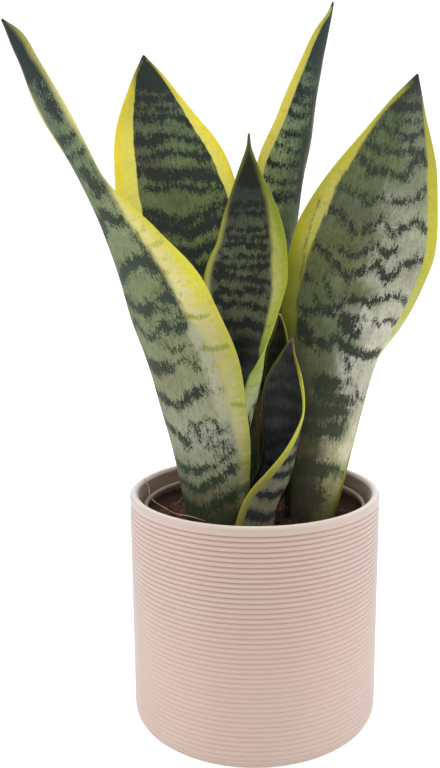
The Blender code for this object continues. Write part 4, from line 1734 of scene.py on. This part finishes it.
@dataclass(frozen=True)
class PlasticFinish(Finish):
    """Moulded taupe plastic with a fine grain and a little dust."""

    base: str = "97897a"
    dust: str = "ada08f"
    inner_brown: str = "4d3729"
    roughness: float = 0.42
    specular: float = 0.25
    inner_brown_share: float = 0.94
    inner_brown_roughness: float = 0.45
    inner_brown_relief: float = 3.0

    def shade(self, tree: ShaderTree) -> None:
        """Shade the plastic.

        Args:
            tree: The material's nodes.
        """
        where = tree.place()
        clouds = tree.noise(where, (30.0, 30.0, 45.0), 3.0)
        grain = tree.noise(where, (1500.0, 1500.0, 1500.0), 2.0)
        scuffs = tree.noise(where, (60.0, 60.0, 500.0), 2.0)
        skin = tree.mix((clouds + scuffs * 0.5).step(-0.15, 0.3) * 0.6, colour(self.base), colour(self.dust))
        mottle = tree.noise(where, (260.0, 260.0, 200.0), 4.0)
        below = tree.parts(tree.attribute("plastic_marks"))[0]
        # The inside of the wall turns darker brown below the rolled rim, with a mottled edge.
        browned = (below * 1.5 + mottle * 0.9).step(0.35, 0.9) * self.inner_brown_share
        skin = tree.mix(browned, skin, colour(self.inner_brown))
        tree.surface(
            {
                "Base Color": skin,
                "Roughness": clouds * 0.25 + below * self.inner_brown_roughness + self.roughness,
                "Specular IOR Level": self.specular,
                "Normal": tree.bump(grain + mottle * below * self.inner_brown_relief, 0.15, 0.2 * MM),
            }
        )


@dataclass
class NurseryPot:
    """The thin grow pot with a rolled rim, a stiff band and drain holes."""

    rim_top: float = 122.5 * MM
    rim_radius: float = 60 * MM
    band: float = 9.5 * MM
    step: float = 1.6 * MM
    foot_radius: float = 44 * MM
    wall: float = 1.2 * MM
    rolled: float = 2.6 * MM
    foot: float = 5.3 * MM
    holes: int = 6
    hole_radius: float = 4.5 * MM
    hole_circle: float = 30 * MM
    bead_foot: float = 4.2 * MM
    bead_top: float = 3.3 * MM
    bead: float = 0.3 * MM
    roll_start: float = 195.0
    roll_steps: int = 13
    inside_steps: int = 16
    outside_steps: int = 14
    corner: float = 1.2 * MM
    brown_top: float = 3.0 * MM
    brown_fade: float = 2.5 * MM
    sides: int = 168
    finish: PlasticFinish = field(default_factory=PlasticFinish)

    def outer(self, z: float) -> float:
        """The outer radius at a height below the rim band."""
        share = (z - self.foot) / (self.rim_top - self.foot)
        return self.foot_radius + (self.rim_radius - self.step - self.foot_radius) * share

    def profile(self) -> list[tuple[float, float]]:
        """The pot's section.

        Returns:
            Radius and height of each point.
        """
        band_foot = self.rim_top - self.band
        floor = self.foot + self.wall
        inside = self.rim_radius - self.wall
        points = [(0.0, floor)]
        points += [(r, floor) for r in np.linspace(0.15, 0.97, 8) * self.outer(floor)]
        for z in np.linspace(floor + self.corner, band_foot, self.inside_steps):
            points.append((self.outer(z) - self.wall, z))
        points += [(inside - 0.5 * MM, band_foot + self.step * 0.7), (inside, band_foot + self.step * 1.6)]
        points.append((inside, self.rim_top - self.bead_foot))
        points.append((inside - self.bead, self.rim_top - self.bead_top))
        half = self.rolled / 2
        for angle in np.radians(np.linspace(self.roll_start, 0, self.roll_steps)):
            radius = self.rim_radius - half + half * math.cos(angle)
            points.append((radius, self.rim_top - half + half * math.sin(angle)))
        points += [(self.rim_radius, band_foot + 1 * MM), (self.rim_radius - 0.2 * MM, band_foot)]
        points += [(self.outer(band_foot), band_foot - 0.2 * MM)]
        for z in np.linspace(band_foot - 3 * MM, self.foot + self.corner, self.outside_steps):
            points.append((self.outer(z), z))
        points += [(self.outer(self.foot) - self.corner, self.foot)]
        points += [(r, self.foot) for r in np.linspace(0.9, 0.15, 7) * self.foot_radius]
        return [*points, (0.0, self.foot)]

    def build(self) -> bpy.types.Object:
        """Make the grow pot, cut its drain holes and dress it.

        Returns:
            The grow pot's object.
        """
        points, faces = lathe(self.profile(), self.sides)
        made = mesh_object("grow_pot", points, faces, self.finish.material("taupe_plastic"))
        face_outward(made)
        for i in range(self.holes):
            angle = 2 * math.pi * (i + 0.5) / self.holes
            x, y = self.hole_circle * math.cos(angle), self.hole_circle * math.sin(angle)
            self.cut_hole(made, Matrix.Translation((x, y, self.foot)))
        self.store_marks(made.data)
        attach(made, "root")
        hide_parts("nursery_pot")
        report(made)
        return made

    def cut_hole(self, made: bpy.types.Object, where: Matrix) -> None:
        """Cut one round drain hole through the floor.

        Args:
            made: The grow pot.
            where: The hole's place.
        """
        shape = bmesh.new()
        bmesh.ops.create_cone(
            shape,
            cap_ends=True,
            segments=32,
            radius1=self.hole_radius,
            radius2=self.hole_radius,
            depth=self.wall * 5,
            matrix=where,
        )
        mesh = bpy.data.meshes.new("drain_cutter")
        shape.to_mesh(mesh)
        shape.free()
        cutter = bpy.data.objects.new("drain_cutter", mesh)
        bpy.context.scene.collection.objects.link(cutter)
        cut = made.modifiers.new("drain", "BOOLEAN")
        cut.operation = "DIFFERENCE"
        cut.solver = "EXACT"
        cut.object = cutter
        graph = bpy.context.evaluated_depsgraph_get()
        mesh = bpy.data.meshes.new_from_object(made.evaluated_get(graph))
        made.modifiers.clear()
        made.data = mesh
        bpy.data.objects.remove(cutter, do_unlink=True)

    def store_marks(self, mesh: bpy.types.Mesh) -> None:
        """Mark how far the inside of the wall is below the rolled rim, where the finish turns it darker
        brown.

        Args:
            mesh: The grow pot's mesh.
        """
        places = np.array([v.co[:] for v in mesh.vertices])
        radius = np.hypot(places[:, 0], places[:, 1])
        band_foot = self.rim_top - self.band
        wall = np.where(places[:, 2] > band_foot - self.bead, self.rim_radius, self.outer(places[:, 2]))
        inside = (radius < wall - 0.6 * self.wall) & (places[:, 2] > self.foot + self.wall / 2)
        below = np.clip((self.rim_top - self.brown_top - places[:, 2]) / self.brown_fade, 0.0, 1.0)
        marks = np.zeros((len(places), 3))
        marks[:, 0] = np.where(inside, below, 0.0)
        store(mesh, "plastic_marks", marks)


@dataclass(frozen=True)
class CoirFinish(Finish):
    """Reddish-brown coir crumbs."""

    deep: str = "2a1813"
    warm: str = "5f3c2f"
    pale: str = "8f6a52"
    roughness: float = 0.92

    def shade(self, tree: ShaderTree) -> None:
        """Shade the soil from a tint kept on each crumb and a painted shadow near the blades' feet.

        Args:
            tree: The material's nodes.
        """
        tint, shadow, _ = tree.parts(tree.attribute("coir_tint"))
        where = tree.place()
        crumbs = tree.noise(where, (420.0, 420.0, 420.0), 4.0, 0.65)
        clumps = tree.noise(where, (90.0, 90.0, 90.0), 2.0)
        # Near the blades' feet the soil is painted darker: painted shadow.
        share = tint * 0.55 + 0.42 + crumbs * 1.5 + clumps * 0.5 - shadow * 0.55
        stops = ((0.0, self.deep), (0.45, self.warm), (1.0, self.pale))
        tree.surface(
            {
                "Base Color": tree.ramp(share, stops),
                "Roughness": self.roughness,
                "Normal": tree.bump(crumbs, 0.5, 0.5 * MM),
            }
        )


@dataclass
class Soil:
    """The coir mix: a crumbly top on a tapered plug, with loose crumbs and fibres on it."""

    level: float = 112 * MM
    foot: float = 6.8 * MM
    top_radius: float = 55.2 * MM
    foot_radius: float = 42.4 * MM
    rings: int = 64
    sides: int = 200
    crumbs: int = 620
    fibres: int = 420
    # The soil is painted darker round these places at the feet of the front blades: painted shadow.
    shadow_spots: tuple[tuple[float, float], ...] = ((-25.0, -24.0), (7.0, -25.0), (24.0, -20.0), (31.0, -2.0))
    shadow_reach: float = 25.0
    shadow_fade: float = 6.0
    lumps: float = 1.6
    lump_spacing: float = 7.5
    ripple_spacing: float = 5.2
    grit: float = 0.7
    fine_grit: float = 0.35
    scatter: float = 0.97
    crumb_sizes: tuple[float, float] = (0.35 * MM, 1.0 * MM)
    crumb_lift: float = 0.1 * MM
    fibre_lengths: tuple[float, float] = (3 * MM, 11 * MM)
    fibre_bend: float = 0.35
    fibre_arch: float = 1.6 * MM
    fibre_lift: float = 0.15 * MM
    fibre_radii: tuple[float, float] = (0.08 * MM, 0.2 * MM)
    seed: int = 11
    finish: CoirFinish = field(default_factory=CoirFinish)

    def height(self, x: np.ndarray, y: np.ndarray) -> np.ndarray:
        """How far the top stands above its level.

        Args:
            x: Places along X in metres.
            y: Places along Y in metres.

        Returns:
            Heights in metres.
        """
        x, y = x / MM, y / MM
        lump = np.sin(x / self.lump_spacing) * np.cos(y / self.lump_spacing)
        ripple = np.sin((x + 1.7 * y) / self.ripple_spacing)
        grit = np.sin(x * 1.9 + 2 * np.sin(y * 0.7)) * np.sin(y * 2.1 + 1.5 * np.sin(x * 0.9))
        fine = np.sin(x * 4.3 + 1.7 * np.sin(y * 2.3)) * np.sin(y * 4.7 + 1.3 * np.sin(x * 1.9))
        return (self.lumps * (0.6 * lump + 0.4 * ripple) + self.grit * grit + self.fine_grit * fine) * MM

    def plug(self) -> tuple[np.ndarray, list]:
        """The soil's body.

        Returns:
            Points and faces.
        """
        radii = np.linspace(0.015, 1.0, self.rings) * self.top_radius
        profile = [(0.0, self.level), *((float(r), self.level) for r in radii)]
        profile += [(float(self.foot_radius), self.foot), (0.0, self.foot)]
        points, faces = lathe(profile, self.sides)
        top = points[:, 2] > self.level - 1 * MM
        points[top, 2] += self.height(points[top, 0], points[top, 1])
        return points, faces

    def crumb(self, random: np.random.Generator, start: int) -> tuple[np.ndarray, list]:
        """One loose crumb, a squashed and dented lump.

        Args:
            random: Seeded numbers.
            start: Number of its first point.

        Returns:
            Points and faces.
        """
        golden = (1 + 5**0.5) / 2
        corners = []
        for a in (-1, 1):
            for b in (-golden, golden):
                corners += [(0, a, b), (a, b, 0), (b, 0, a)]
        corners = np.array(corners, float)
        corners *= random.uniform(0.75, 1.25, (12, 1))
        corners *= random.uniform(0.5, 1.3, 3) * random.uniform(*self.crumb_sizes)
        angle = random.uniform(0, 6.3)
        turn = np.array(Matrix.Rotation(angle, 3, Vector(random.normal(size=3)).normalized()))
        hull = bmesh.new()
        for corner in corners @ turn.T:
            hull.verts.new(corner)
        bmesh.ops.convex_hull(hull, input=hull.verts)
        hull.verts.ensure_lookup_table()
        points = np.array([v.co[:] for v in hull.verts])
        faces = [[start + v.index for v in f.verts] for f in hull.faces]
        hull.free()
        return points, faces

    def spot(self, random: np.random.Generator) -> tuple[float, float]:
        """Pick a random place on the soil.

        Args:
            random: Seeded numbers.

        Returns:
            Its x and y.
        """
        radius = self.top_radius * self.scatter * math.sqrt(random.uniform())
        angle = random.uniform(0, 2 * math.pi)
        return radius * math.cos(angle), radius * math.sin(angle)

    def build(self) -> bpy.types.Object:
        """Make the soil and dress it.

        Returns:
            The soil's object.
        """
        random = np.random.default_rng(self.seed)
        points, faces = self.plug()
        parts, tints, count = [points], [np.zeros(len(points))], len(points)
        for _ in range(self.crumbs):
            more, more_faces = self.crumb(random, count)
            x, y = self.spot(random)
            lift = float(self.height(np.array(x), np.array(y))) + self.crumb_lift
            parts.append(more + (x, y, self.level + lift))
            tints.append(np.full(len(more), random.uniform(-0.7, 0.6)))
            faces += more_faces
            count += len(more)
        for _ in range(self.fibres):
            more, more_faces = self.fibre(random, count)
            parts.append(more)
            tints.append(np.full(len(more), random.uniform(0.0, 0.9)))
            faces += more_faces
            count += len(more)
        made = mesh_object("coir_soil", np.concatenate(parts), faces, self.finish.material("coir"))
        tint = np.concatenate(tints)
        places = np.concatenate(parts)[:, :2] / MM
        near = np.min([np.hypot(places[:, 0] - x, places[:, 1] - y) for x, y in self.shadow_spots], axis=0)
        shadow = np.clip((self.shadow_reach - near) / self.shadow_fade, 0, 1)
        store(made.data, "coir_tint", np.stack([tint, shadow, shadow], axis=1))
        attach(made, "root")
        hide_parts("soil")
        report(made)
        return made

    def fibre(self, random: np.random.Generator, start: int) -> tuple[np.ndarray, list]:
        """One short coir fibre lying on the soil.

        Args:
            random: Seeded numbers.
            start: Number of its first point.

        Returns:
            Points and faces.
        """
        x, y = self.spot(random)
        angle = random.uniform(0, 2 * math.pi)
        length = random.uniform(*self.fibre_lengths)
        steps = np.linspace(-0.5, 0.5, 7)
        bend = random.uniform(-self.fibre_bend, self.fibre_bend) * length * (1 - (2 * steps) ** 2)
        xs = x + steps * length * math.cos(angle) - bend * math.sin(angle)
        ys = y + steps * length * math.sin(angle) + bend * math.cos(angle)
        arch = random.uniform(0.0, self.fibre_arch) * (1 - (2 * steps) ** 2)
        far = np.hypot(xs, ys) / (self.top_radius * 0.985)
        xs, ys = xs / np.maximum(far, 1), ys / np.maximum(far, 1)
        path = np.stack([xs, ys, self.level + self.height(xs, ys) + arch + self.fibre_lift], axis=1)
        radius = random.uniform(*self.fibre_radii)
        return tube(path, radius * (1 - 0.6 * np.abs(2 * steps) ** 2), 4, start)


@dataclass(frozen=True)
class RootFinish(Finish):
    """Dry tan root skin."""

    base: str = "c29a72"
    worn: str = "9a7350"

    def shade(self, tree: ShaderTree) -> None:
        """Shade the root.

        Args:
            tree: The material's nodes.
        """
        where = tree.place()
        patches = tree.noise(where, (260.0, 260.0, 260.0), 3.0)
        tree.surface(
            {
                "Base Color": tree.mix(patches.step(-0.2, 0.2), colour(self.base), colour(self.worn)),
                "Roughness": patches * 0.2 + 0.65,
                "Normal": tree.bump(patches, 0.3, 0.1 * MM),
            }
        )


@dataclass
class RootStrands:
    """Loose root fibres over the grow pot's rim: radius in millimetres, then each point's pixel and depth."""

    strands: tuple[tuple[float, tuple[tuple[float, float, float], ...]], ...] = (
        (
            0.33,
            (
                (144.4, 479.6, 0.010), (147.0, 483.5, 0.008), (149.2, 488.0, 0.005), (149.7, 495.2, -0.001),
                (152.0, 499.0, -0.004), (155.6, 502.3, -0.007), (160.7, 505.4, -0.011),
                (168.4, 510.0, -0.017), (176.5, 514.0, -0.023), (191.0, 516.6, -0.034),
                (204.6, 520.7, -0.0415),
            ),
        ),
        (
            0.2,
            ((175.3, 505.5, 0.004), (178.0, 502.0, 0.008), (181.5, 498.5, 0.012), (184.2, 495.7, 0.016)),
        ),
    )
    steps: int = 72
    swell: float = 0.25
    swell_turns: float = 31.0
    worn_end: int = 6
    sides: int = 8
    finish: RootFinish = field(default_factory=RootFinish)

    def build(self) -> bpy.types.Object:
        """Make the strands as one piece.

        Returns:
            Their object.
        """
        parts, faces, count = [], [], 0
        for radius, drawn in self.strands:
            points = np.array([CAMERA.at_depth((x, y), depth) for x, y, depth in drawn])
            path = smooth_path(points, self.steps)
            swelling = self.swell * np.sin(np.linspace(0, self.swell_turns, len(path)))
            radii = radius * MM * (1 - self.swell + swelling)
            radii[-self.worn_end :] *= np.linspace(1, 0.3, self.worn_end)
            more, more_faces = tube(path, radii, self.sides, count)
            parts.append(more)
            faces += more_faces
            count += len(more)
        made = mesh_object("root_strands", np.concatenate(parts), faces, self.finish.material("dry_root"))
        face_outward(made)
        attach(made, "root")
        report(made)
        return made


@dataclass
class Softbox:
    """A square soft light that aims at the plant."""

    name: str
    place: tuple[float, float, float]
    size: float
    power: float
    target: tuple[float, float, float] = (0.0, 0.0, 0.2)

    def create(self) -> None:
        """Add the light to the scene."""
        data = bpy.data.lights.new(self.name, "AREA")
        data.shape = "SQUARE"
        data.size = self.size
        data.energy = self.power
        made = bpy.data.objects.new(self.name, data)
        made.visible_glossy = False
        made.location = self.place
        made.rotation_euler = (Vector(self.target) - Vector(self.place)).to_track_quat("-Z", "Y").to_euler()
        bpy.context.scene.collection.objects.link(made)


@dataclass
class Studio:
    """A white room: a pale floor, soft lights on both sides and above, and a white surround."""

    lights: tuple[Softbox, ...] = (
        Softbox("left_softbox", (-1.1, -0.25, 0.55), 0.9, 8.6),
        Softbox("right_softbox", (1.1, -0.15, 0.6), 0.9, 8.2),
        Softbox("top_softbox", (0.0, -0.1, 1.4), 0.9, 5.0),
        Softbox("front_fill", (0.25, -1.6, 0.7), 0.9, 5.0),
    )
    surround: float = 0.45
    mirrored: float = 1.25
    mirrored_front: float = 0.3
    white: float = 1.2
    floor_glow: float = 0.9
    floor_reach: float = 8.0
    floor_gap: float = 0.2 * MM

    def build(self) -> None:
        """Create the lights, the surround and the floor."""
        for light in self.lights:
            light.create()
        self.build_surround()
        self.build_floor()

    def build_surround(self) -> None:
        """A white world that is only as bright as its light needs, except where it is looked at."""
        world = bpy.data.worlds.new("white_room")
        world.use_nodes = True
        bpy.context.scene.world = world
        tree = ShaderTree(world.node_tree)
        path = tree.node("ShaderNodeLightPath", output="Is Camera Ray")
        towards_front = -tree.parts(tree.node("ShaderNodeTexCoord", output="Generated"))[1]
        front = towards_front.step(0.5, 0.85) * (self.mirrored_front - self.mirrored)
        mirrored = path.other("Is Glossy Ray") * (front + (self.mirrored - self.surround))
        strength = path * (self.white - self.surround) + mirrored + self.surround
        glow = tree.node("ShaderNodeBackground", inputs={"Color": (1.0, 1.0, 1.0, 1.0), "Strength": strength})
        tree.node("ShaderNodeOutputWorld", inputs={"Surface": glow})

    def build_floor(self) -> None:
        """A wide pale floor."""
        made, tree = new_material("pale_floor")
        where = tree.place()
        paper = tree.noise(where, (3.0, 3.0, 3.0), 2.0)
        pale = tree.mix(paper.step(-0.3, 0.3), (0.84, 0.84, 0.84, 1.0), (0.88, 0.88, 0.88, 1.0))
        seen = tree.node("ShaderNodeLightPath", output="Is Camera Ray")
        matte = tree.node("ShaderNodeBsdfDiffuse", inputs={"Color": pale})
        strength = seen * self.floor_glow
        glow = tree.node("ShaderNodeEmission", inputs={"Color": (1, 1, 1, 1), "Strength": strength})
        both = tree.node("ShaderNodeAddShader", inputs={0: matte, 1: glow})
        tree.node("ShaderNodeOutputMaterial", inputs={"Surface": both})
        reach = self.floor_reach
        corners = np.array([(-reach, -reach, 0), (reach, -reach, 0), (reach, reach, 0), (-reach, reach, 0)])
        floor = mesh_object("floor", corners, [[0, 1, 2, 3]], made)
        floor.location.z = -self.floor_gap


@dataclass(frozen=True)
class StemFinish(Finish):
    """Straw-coloured skin of the creeping stem."""

    base: str = "b59a6a"
    worn: str = "8f7448"
    roughness: float = 0.7

    def shade(self, tree: ShaderTree) -> None:
        """Shade the stem.

        Args:
            tree: The material's nodes.
        """
        where = tree.place()
        rings = tree.noise(where, (200.0, 200.0, 200.0), 3.0)
        tree.surface(
            {
                "Base Color": tree.mix(rings.step(-0.2, 0.2), colour(self.base), colour(self.worn)),
                "Roughness": rings * 0.2 + self.roughness,
                "Normal": tree.bump(rings, 0.3, 0.3 * MM),
            }
        )


def dress_hidden_stem(frame: dict) -> None:
    """Give the creeping stem under the soil its own skin, on the CAD solid's own mesh.

    Args:
        frame: What the frame loader returned.
    """
    stem = frame["nodes"]["rhizome"]
    stem.data.materials.clear()
    stem.data.materials.append(StemFinish().material("stem_skin"))
    log.info("creeping stem dressed")


def main() -> None:
    """Load the frame and build every piece in order."""
    logging.basicConfig(level=logging.INFO, format="%(name)s %(message)s")
    bpy.context.scene.view_settings.view_transform = "Standard"
    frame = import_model()
    CAMERA.create()
    Studio().build()
    CoverPot().build()
    NurseryPot().build()
    Soil().build()
    RootStrands().build()
    Foliage().build()
    dress_hidden_stem(frame)


if __name__ == "__main__":
    main()
